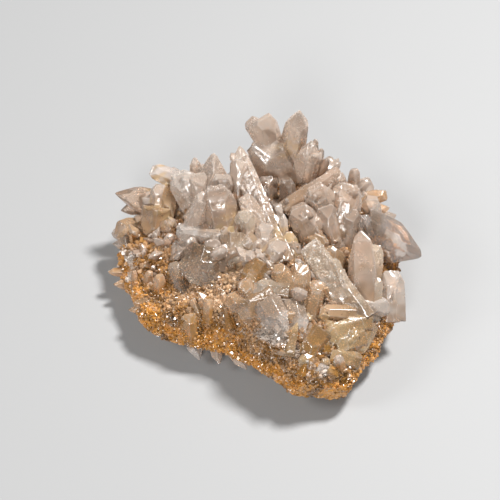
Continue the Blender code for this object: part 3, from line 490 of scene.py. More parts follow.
# How frosted some crystals are, from 0 to 1. The others have a little frost.
FROSTS = (
    (1.0, ("frost_rim", "lath_partner")),
    (0.9, ("long_lath", "front_blade")),
    (0.8, ("white_thumb", "white_thumb_2")),
    (0.7, ("ridge_white",)),
    (0.6, ("left_pyramid", "small_white", "lath_foot", "crown_right", "fang_left", "fang_right")),
    (0.5, ("left_small", "below_face", "ball_blade", "corner_block", "crown_slab", "horn_right")),
    (0.4, ("ridge_mid", "leaf_side", "pale_wall")),
    (0.35, ("ball_mid",)),
    (0.3, ("ball_top", "brown_faced")),
    (0.2, ("glass_block",)),
    (0.1, ("tan_slab", "leaf")),
    (0.0, ("left_point", "left_under", "right_point", "amber_face")),
)
FROSTED = {name: frost for frost, names in FROSTS for name in names}
LITTLE_FROST = 0.18

# How white a crystal's edges are, partly wear and frost and partly a painted highlight, and how strongly its
# root is darkened, partly iron stain and partly painted shade. The crust's crystals, apart from the strewn
# ones, have the matrix's stain on their roots.
EDGE_WEAR_AND_HIGHLIGHT = 0.7
ROOT_SHADE = 0.6
CRUST_ROOT = OCHRE * 0.8
CRUST_ROOT_SHADE = 0.9

# The grains of frost: how many there are for each square millimetre of a fully frosted crystal's
# side, their height, how many sides they have and how far their colour goes from the crystal's to
# white.
GRAINS = 8
GRAIN_HEIGHT = (0.10, 0.26)
GRAIN_SIDES = 3
GRAIN_WHITENESS = 0.4
GRAIN_SEED = 51

# Crystals with small ones grown on their sides.
WITH_OFFSHOOTS = (
    "crown_slab", "crown_right", "horn_left", "ball_front", "ball_mid", "ball_right", "dark_prism",
    "lath_partner", "pale_wall", "ridge_white", "small_white", "right_chunk", "tan_chisel", "ball_top",
    "ball_left", "ball_low", "left_small", "below_face", "corner_block", "pale_nook", "leaf_side",
    "front_pale_foot", "blade_back", "back_left_1", "back_left_2", "back_middle_1", "back_middle_2",
    "back_right_1", "back_right_2",
)

# Yellow stains on the crystals: where, how far they reach and how strong they are.
STAINS = (
    ((-31, 31, 20), 5.0, 0.9),
    ((-27, 16, 20), 5.0, 0.7),
    ((-32, 22, 17), 4.0, 0.8),
    ((-8, 9, 26), 5.0, 0.8),
    ((7, 2, 29), 4.5, 0.8),
    ((10, 33, 34), 4.5, 0.6),
    ((-30, 20, 20), 5.0, 0.5),
    ((2, -2, 24), 5.0, 0.6),
    ((-9, 10, 30), 5.0, 0.45),
)

# The height of the dark seam that runs round the matrix.
SEAM_HEIGHT = 12.5

# Patches of white druse on the matrix: where and how far they reach.
WHITE_DRUSE = (
    ((2, -26, 20), 3.6),
    ((6, -29, 20), 3.6),
    ((10, -33, 19), 3.4),
    ((14, -37, 16), 3.0),
    ((19, -37, 15), 2.6),
    ((-38, 7, 13), 3.4),
    ((-39, 1, 11), 3.0),
)

# The small crystals strewn over the matrix. Each piece has its finish, its groups, its seed, the
# number of sides and its slot. Each group has a count, a part of the way round in turns, a
# part of the profile, lengths, breadths as shares of the length, how much they lean, and whiteness.
DRUSES = (
    (
        "rim_druse",
        "druse",
        (
            (6200, (0.42, 0.97), (0.36, 0.56), (0.3, 0.95), (0.8, 1.4), 0.6, 0.0),
            (2000, (-0.03, 0.42), (0.36, 0.56), (0.4, 1.3), (0.8, 1.4), 0.6, 0.05),
        ),
        21,
        4,
        "stained_matrix",
    ),
    (
        "brown_druse",
        "druse",
        (
            (8200, (0.40, 0.80), (0.50, 0.84), (0.3, 1.1), (0.7, 1.3), 0.6, 0.04),
            (1500, (0.76, 0.97), (0.50, 0.72), (0.4, 1.5), (0.7, 1.2), 0.6, 0.2),
        ),
        22,
        4,
        "stained_matrix",
    ),
    (
        "back_druse",
        "druse",
        ((3000, (-0.1, 0.45), (0.50, 0.80), (0.5, 1.9), (0.6, 1.2), 0.6, 0.12),),
        23,
        4,
        "stained_matrix",
    ),
    (
        "gap_crystals",
        "pale_crystal",
        (
            (800, (-0.35, 0.40), (0.64, 0.98), (1.4, 3.4), (0.5, 0.9), 0.5, 0.3),
            (120, (0.0, 1.0), (0.86, 0.98), (1.4, 3.4), (0.5, 0.9), 0.5, 0.3),
            (220, (0.76, 0.97), (0.58, 0.8), (1.2, 2.6), (0.5, 0.9), 0.5, 0.3),
        ),
        24,
        6,
        "pale_crystal",
    ),
)

# How far a small strewn crystal runs on into the matrix, as a share of the length that is seen, and
# its depth as a share of its breadth.
DRUSE_SUNK = 0.35
DRUSE_DEPTH = 0.75

# Crystals of a few millimetres between the large ones. Each piece has its finish, colour, seed and
# groups: a count, a part of the way round, a part of the profile, breadths, lengths in breadths and
# how much they lean. The points of their surfaces lie this far apart, and their ends take turns.
FILLERS = (
    (
        "filler_pale",
        "pale_crystal",
        PALE,
        31,
        (
            (46, (-0.3, 0.42), (0.70, 0.98), (3.0, 6.5), (0.6, 1.3), 0.5),
            (12, (0.42, 0.7), (0.86, 0.98), (3.0, 6.0), (0.6, 1.3), 0.5),
            (26, (0.02, 0.42), (0.56, 0.72), (2.6, 5.2), (0.7, 1.3), 0.5),
            (22, (0.26, 0.42), (0.60, 0.80), (3.0, 5.6), (0.6, 1.2), 0.35),
        ),
    ),
    (
        "filler_tan",
        "tan_crystal",
        TAN,
        32,
        (
            (18, (0.62, 0.80), (0.70, 0.88), (2.6, 5.4), (0.5, 1.0), 0.35),
            (14, (0.5, 0.64), (0.74, 0.88), (2.4, 4.0), (0.5, 1.0), 0.4),
        ),
    ),
    (
        "filler_yellow",
        "tan_crystal",
        YELLOW,
        33,
        ((40, (0.76, 0.99), (0.54, 0.74), (2.4, 5.4), (0.4, 0.9), 0.45),),
    ),
)
FILLER_FINE = 0.4
FILLER_ENDS = ("blunt", "chisel", "point", "blunt")

# How many points the matrix's skin has round it, and where its rows lie along its profile.
SKIN_COLUMNS = 470
SKIN_ROWS = ((0.02, 0.27, 22), (0.28, 0.62, 96), (0.625, 0.99, 72))

# The matrix's crumbs, large and small: how far apart they are, how high they stand, and the number
# that starts their random places.
CRUMBS = (2.4, 0.9, 3.0)
SMALL_CRUMBS = (1.1, 0.35, 9.0)

# The corners of the CAD's box in millimetres, and how near to its upright sides the skin and the
# strewn crystals are drawn in.
BOX_LOW = np.array(CAD_BOX[0]) / MM
BOX_HIGH = np.array(CAD_BOX[1]) / MM
BOX_MARGIN = 0.5

# The camera's view: what it looks at, how far away it stands, its height in degrees, and its lens.
TARGET = (-2, 8, 15)
CAMERA_AWAY = 450
CAMERA_HEIGHT = 50
LENS = 105.9

# The lights: name, place in metres, diameter in metres and power in watts. A faint even light comes
# from all round.
LIGHTS = (
    ("key_light", (0.35, 0.30, 0.75), 0.16, 12.2),
    ("fill_light", (-0.6, -0.1, 0.5), 0.3, 2.4),
    ("front_light", (-0.1, -0.6, 0.45), 0.2, 2.7),
)
AMBIENT = 0.06

# The floor's half width, and its grey.
FLOOR_REACH = 1500.0
FLOOR_GREY = 0.36


def unit(vectors):
    """Vectors with their length made one."""
    return vectors / np.linalg.norm(vectors, axis=-1, keepdims=True)


def smooth_step(low, high, values):
    """Nought below the low value, one above the high one, and a smooth rise between them."""
    share = np.clip((values - low) / (high - low), 0, 1)
    return share * share * (3 - 2 * share)


def keep_hue(colours, most=0.92):
    """Colours too bright for a surface, made darker as a whole until their brightest part is just
    within the limit."""
    return colours * np.minimum(1, most / colours.max(1))[:, None]


def scatter_number(*values):
    """A number from 0 to 1 that looks random but depends on the values alone."""
    mixed = sum(value * factor for value, factor in zip(values, (12.9898, 78.233, 37.719, 93.989)))
    return (np.sin(mixed) * 43758.5453) % 1.0


def waves(points, wavelength, seed, count=8):
    """A smooth uneven height from about -1 to 1: the sum of waves in random directions."""
    draw = np.random.default_rng(seed)
    directions = unit(draw.normal(size=(count, 3))) * 2 * math.pi / wavelength
    directions *= draw.uniform(0.7, 1.4, (count, 1))
    return np.sin(points @ directions.T + draw.uniform(0, 2 * math.pi, count)).sum(1) / math.sqrt(count)


def pebbles(points, size, seed):
    """Cells about random seeds in a lattice of cubes: the distance to the nearest seed as a share
    of the cubes' size, and a random number for the cell."""
    scaled = points / size
    cube = np.floor(scaled)
    nearest = np.full(len(points), 9.0)
    mark = np.zeros(len(points))
    for shift in np.ndindex(3, 3, 3):
        corner = cube + np.array(shift) - 1
        key = corner @ np.array([1.0, 57.0, 113.0]) + seed
        centre = corner + np.stack([scatter_number(key, float(k)) for k in range(1, 4)], 1)
        distance = np.linalg.norm(scaled - centre, axis=1)
        closer = distance < nearest
        nearest = np.where(closer, distance, nearest)
        mark = np.where(closer, scatter_number(key, 4.0), mark)
    return nearest, mark


def small_facets(points, size, seed):
    """A height made of small tilted planes: cells about random seeds, in each of which the height
    is the way from the seed along the cell's own random slope."""
    scaled = points / size
    cube = np.floor(scaled)
    nearest = np.full(len(points), 9.0)
    height = np.zeros(len(points))
    for shift in np.ndindex(3, 3, 3):
        corner = cube + np.array(shift) - 1
        key = corner @ np.array([1.0, 57.0, 113.0]) + seed
        marks = np.stack([scatter_number(key, float(k)) for k in range(1, 7)], 1)
        away = scaled - corner - marks[:, :3]
        distance = np.linalg.norm(away, axis=1)
        closer = distance < nearest
        nearest = np.where(closer, distance, nearest)
        height = np.where(closer, (away * (marks[:, 3:] - 0.5)).sum(1), height)
    return height * size


def mesh_piece(name, points, faces, marks=None, smooth=True):
    """A mesh from points in millimetres and arrays of faces, with one value or colour per point."""
    mesh = bpy.data.meshes.new(name)
    points = np.clip(points, BOX_LOW, BOX_HIGH)
    mesh.vertices.add(len(points))
    mesh.vertices.foreach_set("co", (points * MM).astype(np.float32).ravel())
    corners = np.concatenate([part.ravel() for part in faces])
    sizes = np.concatenate([np.full(len(part), part.shape[1]) for part in faces])
    mesh.loops.add(len(corners))
    mesh.loops.foreach_set("vertex_index", corners.astype(np.int32))
    mesh.polygons.add(len(sizes))
    mesh.polygons.foreach_set("loop_start", (np.cumsum(sizes) - sizes).astype(np.int32))
    mesh.update(calc_edges=True)
    for key, values in (marks or {}).items():
        values = np.asarray(values, np.float32)
        if values.ndim == 2:
            colour = np.concatenate([values, np.ones((len(values), 1), np.float32)], 1)
            mesh.attributes.new(key, "FLOAT_COLOR", "POINT").data.foreach_set("color", colour.ravel())
        else:
            mesh.attributes.new(key, "FLOAT", "POINT").data.foreach_set("value", values)
    if smooth:
        mesh.shade_smooth()
    else:
        mesh.shade_flat()
    made = bpy.data.objects.new(name, mesh)
    bpy.context.scene.collection.objects.link(made)
    return made


def pull_in(points, margin=BOX_MARGIN):
    """Points nearer to the CAD box's upright sides than the margin, or beyond them, drawn towards
    the side by an exponential curve, so that they keep their order and none crosses it."""
    result = points.copy()
    for axis in (0, 1):
        for side, limit in ((-1, BOX_LOW[axis]), (1, BOX_HIGH[axis])):
            inside = (limit - points[:, axis]) * side
            near = inside < margin
            result[near, axis] = limit - side * margin * np.exp(inside[near] / margin - 1)
    return result


def globe_faces(rows, columns):
    """Faces of a surface of rows of points round it, closed by one point at each end: the first
    row lies next to the last point but one, and the last row next to the last point."""
    corner = np.arange(rows * columns).reshape(rows, columns)
    after = np.roll(corner, -1, 1)
    quads = np.stack([corner[:-1], corner[1:], after[1:], after[:-1]], -1).reshape(-1, 4)
    first = np.full(columns, rows * columns)
    top = np.stack([first, corner[0], after[0]], 1)
    bottom = np.stack([first + 1, after[-1], corner[-1]], 1)
    return quads, top, bottom


def curve_at(values, turns):
    """A closed smooth curve through the values, read at shares of the way round: cubic stretches
    whose slope at each value is half the step from the value before it to the one after it."""
    values = np.array(values, float)
    steps = (np.asarray(turns) % 1.0) * len(values)
    start = np.floor(steps).astype(int)
    share = (steps - start)[:, None]
    before, here, after, later = (values[(start + k) % len(values)] for k in (-1, 0, 1, 2))
    slope_here = (after - before) / 2
    slope_after = (later - here) / 2
    rise = after - here
    return here + share * slope_here + share**2 * (3 * rise - 2 * slope_here - slope_after) + share**3 * (
        slope_here + slope_after - 2 * rise
    )


def profile_stations():
    """The matrix's profile as rows of: share of the way out, shares of the lower edge, the upper
    edge and the crown in the height, and how much the lumps move it."""
    stations = [(0, 0, 0, 0, 0)]
    stations += [(share, rise, 0, 0, rise) for share, rise in UNDERSIDE]
    stations += [(share, 1 - rise, rise, 0, 1) for share, rise in BAND]
    stations += [(share, 0, share**TOP_FALL, 1 - share**TOP_FALL, 1) for share in TOP_SHARES]
    stations.append((0, 0, 0, 1, 0))
    return np.array(stations, float)


def lumps(points):
    """Sums of waves in all directions, one set for each wavelength."""
    draw = np.random.default_rng(LUMPS_SEED)
    height = np.zeros(len(points))
    for wavelength, strength in LUMPS:
        for _ in range(WAVES_EACH):
            phase = points @ unit(draw.normal(size=3)) * 2 * math.pi / wavelength
            height += strength / math.sqrt(WAVES_EACH) * np.sin(phase + draw.uniform(0, 2 * math.pi))
    return height


def matrix_outward(points):
    """Straight out of the egg shape that stands for the matrix: how far a point is from its middle
    on each axis, over the square of the shape's reach there."""
    return unit((points - MATRIX_MIDDLE) / MATRIX_REACH**2)


def matrix_surface(turns, along):
    """The matrix's surface at shares of the way round and of the way along its profile, from the
    middle of its underside to the middle of its top: the rim's curve times the profile's share of
    the way out, at a height between the rim's edges and the crown, moved out by the lumps."""
    x, y, low, high = curve_at(RIM, turns).T
    stations = profile_stations()
    steps = np.arange(len(stations)) / (len(stations) - 1)
    share, of_low, of_high, of_crown, loose = (np.interp(along, steps, column) for column in stations.T)
    z = low * of_low + high * of_high + CROWN_HEIGHT * of_crown
    points = np.stack([x * share, y * share, z], 1)
    above = smooth_step(TOP_LEVEL - 1, TOP_LEVEL + 1, points[:, 2])
    for centre_x, centre_y, height, spread in SWELLS:
        away = (points[:, 0] - centre_x) ** 2 + (points[:, 1] - centre_y) ** 2
        points[:, 2] += above * height * np.exp(-away / spread**2)
    return points + matrix_outward(points) * (lumps(points) * loose)[:, None]


def axes_of(crystal):
    """The crystal's own directions: across its breadth, through its depth and along its length."""
    along = unit(np.subtract(crystal.tip, crystal.root).astype(float))
    through = unit(FACE_ON - along * (FACE_ON @ along))
    across = np.cross(through, along)
    turn = math.radians(crystal.turn)
    return np.array(
        [
            across * math.cos(turn) + through * math.sin(turn),
            through * math.cos(turn) - across * math.sin(turn),
            along,
        ]
    )


def crystal_planes(name, crystal):
    """The planes that bound a crystal, as outward normals and distances from the origin."""
    draw = np.random.default_rng([ord(letter) for letter in name])
    half_breadth, half_depth = crystal.breadth / 2, crystal.depth / 2
    length = math.dist(crystal.root, crystal.tip)
    normals, offsets = [], []

    def add(normal, point):
        """A plane with this normal through this point, both in the crystal's own directions."""
        normal = unit(np.array(normal))
        normals.append(normal)
        offsets.append(normal @ np.array(point))

    slim = crystal.breadth < SLIM_BREADTH
    for side in (-1, 1):
        if not slim:
            add((0, side, TAPER), (0, side * half_depth, length / 2))
        if crystal.breadth > SHARP_BREADTH:
            add((side, 0, TAPER), (side * half_breadth * EDGE_CUT, 0, length / 2))
        for face in (-1, 1):
            slant = math.atan2(half_breadth, half_depth) if slim else math.radians(SIDE_SLANT)
            slant += math.radians(draw.uniform(-UNEVEN_DEGREES, UNEVEN_DEGREES))
            reach = half_breadth * (1 + draw.uniform(-UNEVEN, 0))
            add((side * math.cos(slant), face * math.sin(slant), TAPER), (side * reach, 0, length / 2))
    for facing, drop, start in ENDS[crystal.end]:
        facing = math.radians(facing + draw.uniform(-UNEVEN_DEGREES, UNEVEN_DEGREES))
        side = np.array([math.cos(facing), math.sin(facing), 0])
        reach = math.hypot(half_breadth * side[0], half_depth * side[1])
        fall = drop * crystal.breadth * (1 + draw.uniform(-UNEVEN, UNEVEN))
        lengthwise = np.array([0, 0, 1])
        add(side * fall + lengthwise * reach * (1 - start), side * reach * start + lengthwise * length)
    tilt = draw.uniform(-TOP_TILT, TOP_TILT, 2)
    if crystal.end in FLAT_ENDS:
        add((tilt[0], tilt[1], 1), (0, 0, length))
    add((0, 0, -1), (0, 0, -crystal.sink))
    normals = np.array(normals) @ axes_of(crystal)
    return normals, np.array(offsets) + normals @ np.array(crystal.root, float)


def cylinder_rays(crystal, fine, coarse):
    """Rays from a crystal's middle to points spread evenly over a round bar of its size: rows from
    the middle of its tip out to its edge, down its side, and in to the middle of its foot."""
    half_breadth, half_depth = crystal.breadth / 2, crystal.depth / 2
    length = math.dist(crystal.root, crystal.tip)
    half_length = (length + crystal.sink) / 2
    columns = max(16, int(math.pi * (half_breadth + half_depth) / fine))
    end_rows = max(4, int(half_breadth / fine))
    shown = min(2.0, crystal.sink - 0.5)
    side_rows = max(6, int((length + shown) / (fine * 1.3)))
    foot_rows = max(2, int((crystal.sink - shown) / coarse))
    out = np.arange(1, end_rows) / end_rows
    down = np.linspace(1, 1 - (length + shown) / half_length, side_rows)
    under = np.linspace(down[-1], -1, foot_rows + 1)[1:]
    radial = np.concatenate([out, np.ones(side_rows), np.ones(foot_rows), [0.5]])
    height = np.concatenate([np.ones(end_rows - 1), down, under, [-1]])
    turn = np.arange(columns) * 2 * math.pi / columns
    rays = np.stack(
        [
            np.outer(radial, np.cos(turn)) * half_breadth,
            np.outer(radial, np.sin(turn)) * half_depth,
            np.outer(height, np.ones(columns)) * half_length,
        ],
        -1,
    ).reshape(-1, 3)
    poles = np.array([[0, 0, half_length], [0, 0, -half_length]])
    return np.concatenate([rays, poles]), len(radial), columns


def add_chips(normals, offsets, points, crystal, draw):
    """Small extra faces on the corners of a crystal's tip: each cuts a little off its farthest point."""
    count = SLIM_CHIPS if crystal.breadth < SLIM_BREADTH else BROAD_CHIPS
    axes = axes_of(crystal)
    sideways = draw.uniform(0, 2 * math.pi, count)
    up = draw.uniform(-0.1, 0.9, count)
    local = unit(np.stack([np.cos(sideways), np.sin(sideways), up * 1.2], 1))
    extra = local @ axes
    depth = crystal.breadth * draw.uniform(*CHIP_DEPTH, count)
    reach = (points @ extra.T).max(0) - depth
    return np.concatenate([normals, extra]), np.concatenate([offsets, reach])


def crystal_surface(name, crystal, fine=FINE):
    """A crystal's surface. Rays leave its middle, and each goes as far as makes the sum of its
    shares of the way to all the planes, each to a high power, equal to one. That is the solid
    inside the planes with slightly softened edges. Growth steps then lower each face in strips, and
    small tilted facets roughen it. With it comes how near to an edge each point is, from 0 to 1."""
    draw = np.random.default_rng([ord(letter) for letter in name] + [1])
    normals, offsets = crystal_planes(name, crystal)
    axes = axes_of(crystal)
    length = math.dist(crystal.root, crystal.tip)
    middle = np.array(crystal.root) + axes[2] * (length - crystal.sink) / 2
    rays, rows, columns = cylinder_rays(crystal, fine, COARSE)
    rays = rays @ axes
    rough = rays / (rays @ normals.T / (offsets - normals @ middle)).max(1)[:, None]
    normals, offsets = add_chips(normals, offsets, rough + middle, crystal, draw)
    shares = np.maximum(rays @ normals.T / (offsets - normals @ middle), 0)
    first = shares.max(1)
    total = first * ((shares / first[:, None]) ** EDGE_SHARPNESS).sum(1) ** (1 / EDGE_SHARPNESS)
    points = middle + rays / total[:, None]
    face = shares.argmax(1)
    ordered = np.sort(shares, 1)
    inner = smooth_step(0.01, 0.05, 1 - ordered[:, -2] / ordered[:, -1])
    frost = FROSTED.get(name, LITTLE_FROST)
    lift = np.zeros(len(points))
    face_normal = normals[face]
    lengthwise = unit(np.cross(face_normal, axes[0] + axes[1] * 0.3))
    crosswise = np.cross(face_normal, lengthwise)
    seed = draw.uniform(0, 50)
    for (width, depth), direction in zip(STEPS, (lengthwise, crosswise)):
        place = (points * direction).sum(1) / width + 0.5 * waves(points, 6.0, int(seed * 10)) + face * 7.3
        step = np.floor(place)
        into = smooth_step(0.75, 1.0, place - step)
        here = scatter_number(step, face + seed)
        following = scatter_number(step + 1, face + seed)
        lift -= depth * min(0.8, 0.3 + 2 * frost) * (here + (following - here) * into)
    for k, (size, relief, frosted_relief, lowered) in enumerate(FACETS):
        facets = small_facets(points, size, seed + 5 * k)
        lift += (relief + frosted_relief * frost) * (facets - lowered)
    lift = np.minimum(lift, 0)
    points += face_normal * (lift * inner)[:, None]
    return points, globe_faces(rows, columns), 1 - inner


def crystal_marks(name, crystal, points, base, edges=0.0):
    """A crystal's colour and frost over its surface, as marks for its mesh. Its edges are whitened, partly
    as wear and frost and partly as a painted highlight.
    """
    frost = np.clip(FROSTED.get(name, LITTLE_FROST) + 0.12 * waves(points, *FROST_WAVES), 0, 1)
    colour = crystal_colour(name, crystal, points, base)
    # Whiter edges: partly wear and frost, partly a painted highlight.
    worn_and_lit = np.clip(edges * (0.55 + 0.35 * waves(points, *WORN_AND_LIT_WAVES)), 0, 1) * EDGE_WEAR_AND_HIGHLIGHT
    colour += (WHITE - colour) * np.broadcast_to(worn_and_lit, len(points))[:, None]
    return {"tint": colour, "frost": frost}


def crystal_colour(name, crystal, points, base):
    """A crystal's colour over its surface: its own tint, going towards its root to a darker colour that is
    partly iron stain and partly painted shade between the crystals (on the crust, the matrix's stain), to
    yellow at the stains, and a little lighter and darker in patches."""
    draw = np.random.default_rng([ord(letter) for letter in name] + [2])
    colour = np.tile(TINTS.get(name, base) * draw.uniform(0.92, 1.06), (len(points), 1))
    length = math.dist(crystal.root, crystal.tip)
    height = (points - np.array(crystal.root)) @ axes_of(crystal)[2] / length
    rooty = smooth_step(0.5, -0.1, height + 0.2 * waves(points, *ROOT_WAVES))
    # Darker towards the root: partly iron stain, partly painted shade between the crystals; the crust's
    # roots take the matrix's stain.
    root, shade = (CRUST_ROOT, CRUST_ROOT_SHADE) if name in CRUST else (ROOT_STAIN_AND_SHADE, ROOT_SHADE)
    colour += (root - colour) * (shade * rooty)[:, None]
    colour *= (1 + 0.07 * waves(points, *SHADE_WAVES))[:, None]
    for place, reach, strength in STAINS:
        away = np.linalg.norm(points - np.array(place), axis=1) / reach
        away += 0.35 * waves(points, *STAIN_WAVES)
        colour += (YELLOW * 0.95 - colour) * (strength * smooth_step(1.0, 0.3, away))[:, None]
    return keep_hue(np.clip(colour, 0.01, None), 0.95)


def mend_marks(mesh):
    """Gives the points that a union has added their neighbours' mean, in a few rounds. They come
    without marks, so their colour is plain black or white."""
    count = len(mesh.vertices)
    ends = np.zeros(len(mesh.edges) * 2, np.int32)
    mesh.edges.foreach_get("vertices", ends)
    ends = ends.reshape(-1, 2)
    colour = np.zeros(count * 4, np.float32)
    mesh.attributes["tint"].data.foreach_get("color", colour)
    colour = colour.reshape(-1, 4)
    frost = np.zeros(count, np.float32)
    mesh.attributes["frost"].data.foreach_get("value", frost)
    values = np.concatenate([colour[:, :3], frost[:, None]], 1)
    lost = (colour[:, :3] > 0.96).all(1) | (colour[:, :3] < 0.005).all(1)
    for _ in range(3):
        sums = np.zeros((count, 5))
        for here, there in ((0, 1), (1, 0)):
            known = ~lost[ends[:, there]]
            extra = np.concatenate([values[ends[known, there]], np.ones((known.sum(), 1))], 1)
            np.add.at(sums, ends[known, here], extra)
        able = lost & (sums[:, 4] > 0)
        values[able] = sums[able, :4] / sums[able, 4:]
        lost &= ~able
    colour[:, :3] = values[:, :3]
    mesh.attributes["tint"].data.foreach_set("color", colour.ravel())
    mesh.attributes["frost"].data.foreach_set("value", values[:, 3].astype(np.float32))


def join_solids(pieces):
    """One solid from several that overlap: the first, with all the others added to it."""
    tools = bpy.data.collections.new("tools")
    for piece in pieces[1:]:
        tools.objects.link(piece)
    target = pieces[0]
    modifier = target.modifiers.new("Join", "BOOLEAN")
    modifier.operation = "UNION"
    modifier.solver = "MANIFOLD"
    modifier.operand_type = "COLLECTION"
    modifier.collection = tools
    view = bpy.context.evaluated_depsgraph_get()
    joined = bpy.data.meshes.new_from_object(target.evaluated_get(view))
    target.modifiers.remove(modifier)
    mend_marks(joined)
    target.data = joined
    for piece in pieces[1:]:
        bpy.data.objects.remove(piece, do_unlink=True)
    bpy.data.collections.remove(tools)
    return target


def prism_shapes(feet, frames, lengths, breadths, flatness, draw, sides=6, tips=(0.2, 0.75)):
    """Many small crystals as one array of points and one of faces. Each is a bar of a few sides: a
    foot, a shoulder, and a smaller slanting tip. The rings stand at shares of the length, and the
    shoulder, the tip's size and its slant are drawn for each crystal."""
    count = len(feet)
    turn = (np.arange(sides) + 0.5) * 2 * math.pi / sides
    ring = np.stack([np.cos(turn), np.sin(turn)], 1) / math.cos(math.pi / sides)
    uneven = draw.uniform(0.82, 1.0, (count, sides))
    shoulder = draw.uniform(0.45, 0.85, count)
    tip_across = draw.uniform(*tips, count)
    tip_through = draw.uniform(*tips, count)
    slant = draw.normal(size=(count, 2)) * 0.16
    rings = []
    for level in ("foot", "shoulder", "tip"):
        across = np.outer(np.ones(count), ring[:, 0]) * uneven
        through = np.outer(np.ones(count), ring[:, 1]) * uneven
        height = np.zeros((count, sides))
        if level == "shoulder":
            height += shoulder[:, None] + 0.1 * draw.uniform(-1, 1, (count, sides))
        if level == "tip":
            across = across * tip_across[:, None]
            through = through * tip_through[:, None]
            height += 1 + slant[:, :1] * across + slant[:, 1:] * through
        across = across * breadths[:, None] / 2
        through = through * (breadths * flatness)[:, None] / 2
        rings.append(np.stack([across, through, height * lengths[:, None]], -1))
    local = np.concatenate(rings, 1)
    points = feet[:, None] + np.einsum("nki,nij->nkj", local, frames)
    base = (np.arange(count) * 3 * sides)[:, None, None]
    corner = np.arange(3 * sides).reshape(3, sides)
    after = np.roll(corner, -1, 1)
    quads = np.stack([corner[:-1], after[:-1], after[1:], corner[1:]], -1).reshape(1, -1, 4)
    caps = np.stack([corner[0][::-1], corner[2]])[None]
    return points.reshape(-1, 3), [(base + quads).reshape(-1, 4), (base + caps).reshape(-1, sides)]


def frames_about(along, draw):
    """For each direction, three directions at right angles with it last, turned at random."""
    sideways = unit(np.cross(along, unit(draw.normal(size=along.shape))))
    return np.stack([sideways, np.cross(along, sideways), along], 1)


def offshoots(name, crystal, surface):
    """Small crystals grown on a large one, nearly in line with it. Each stands on a random place
    of its sides, drawn in towards its axis, and ends well below its tip."""
    draw = np.random.default_rng([ord(letter) for letter in name] + [3])
    axes = axes_of(crystal)
    length = math.dist(crystal.root, crystal.tip)
    height = (surface - np.array(crystal.root)) @ axes[2] / length
    able = np.flatnonzero((height > 0.0) & (height < 0.7))
    count = int(np.clip(crystal.breadth * 0.8, 2, 7))
    foot = surface[draw.choice(able, count, replace=False)]
    on_axis = np.array(crystal.root) + axes[2] * ((foot - np.array(crystal.root)) @ axes[2])[:, None]
    foot = foot + (on_axis - foot) * 0.3
    lean = unit(axes[2] + draw.normal(size=(count, 3)) * 0.05)
    across = unit(axes[0] - lean * (lean @ axes[0])[:, None])
    frames = np.stack([across, np.cross(lean, across), lean], 1)
    breadth = crystal.breadth * draw.uniform(0.2, 0.45, count)
    above = length - (foot - np.array(crystal.root)) @ axes[2]
    reach = np.minimum(crystal.breadth * draw.uniform(0.25, 0.6, count), above * 0.7)
    return prism_shapes(foot, frames, reach, breadth, crystal.depth / crystal.breadth, draw, tips=(0.4, 0.8))


def finish_of(spray):
    """The finish of a spray's crystals."""
    if spray in CLEAR_SPRAYS:
        return "clear_crystal"
    return "tan_crystal" if spray in TAN_SPRAYS else "pale_crystal"


def offshoot_objects(name, crystal, surface, base):
    """The crystal's offshoots, each a solid of its own, so that they can be joined to it."""
    points, faces = offshoots(name, crystal, surface)
    sides = faces[1].shape[1]
    per_solid = 3 * sides
    made = []
    for k in range(len(points) // per_solid):
        part = slice(k * per_solid, (k + 1) * per_solid)
        quads = faces[0][k * 2 * sides : (k + 1) * 2 * sides] - k * per_solid
        caps = faces[1][2 * k : 2 * k + 2] - k * per_solid
        marks = crystal_marks(name, crystal, points[part], base)
        made.append(mesh_piece(f"{name}_{k}", points[part], [quads, caps], marks))
    return made


def frost_grains(surfaces):
    """Tiny crystals all over the frosted crystals: each a short bar that stands on a random point
    of a surface, straight out of the crystal with some lean."""
    draw = np.random.default_rng(GRAIN_SEED)
    feet, outward, colours = [], [], []
    for name, crystal, points, tint in surfaces:
        count = int(GRAINS * FROSTED[name] * crystal.breadth * math.dist(crystal.root, crystal.tip))
        chosen = draw.choice(len(points), count)
        foot = points[chosen]
        axis = axes_of(crystal)[2]
        from_axis = foot - np.array(crystal.root)
        from_axis -= axis * np.clip(from_axis @ axis - crystal.breadth / 2, 0, None)[:, None]
        feet.append(foot)
        outward.append(unit(from_axis) + draw.normal(size=(count, 3)) * 0.4)
        colours.append(tint[chosen])
    feet = np.concatenate(feet)
    lean = unit(np.concatenate(outward))
    tall = draw.uniform(*GRAIN_HEIGHT, len(feet))
    breadths = tall * draw.uniform(0.8, 1.4, len(feet))
    frames = frames_about(lean, draw)
    points, faces = prism_shapes(feet - lean * 0.1, frames, tall, breadths, 0.8, draw, GRAIN_SIDES)
    tint = np.repeat(np.concatenate(colours), 3 * GRAIN_SIDES, axis=0)
    tint = keep_hue(tint * (1 - GRAIN_WHITENESS) + WHITE * GRAIN_WHITENESS)
    marks = {"tint": tint, "frost": np.full(len(points), 0.2)}
    piece = mesh_piece("frost_grains", points, faces, marks, smooth=False)
    dress(piece, "frost_grains", "druse")


def make_spray(spray, crystals):
    """A spray: its crystals with their offshoots, grown together into one solid."""
    finish = finish_of(spray)
    base = {"pale_crystal": PALE, "clear_crystal": GREY, "tan_crystal": TAN}[finish]
    solids = []
    for name, crystal in crystals.items():
        points, faces, edges = crystal_surface(name, crystal)
        marks = crystal_marks(name, crystal, points, base, edges)
        if FROSTED.get(name, 0) > LITTLE_FROST:
            FROSTED_SURFACES.append((name, crystal, points, marks["tint"]))
        solids.append(mesh_piece(name, points, faces, marks))
        if name in WITH_OFFSHOOTS:
            solids += offshoot_objects(name, crystal, points, base)
    piece = join_solids(solids)
    dress(piece, spray.replace("spray", "crystals"), finish)
    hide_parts(spray)
    return piece


def dress(piece, name, finish):
    """Names a finished piece, gives it its material, and lets it ride on the cluster."""
    piece.name = name
    piece.data.name = name
    piece.data.materials.clear()
    piece.data.materials.append(MATERIALS[finish])
    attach(piece, "root")


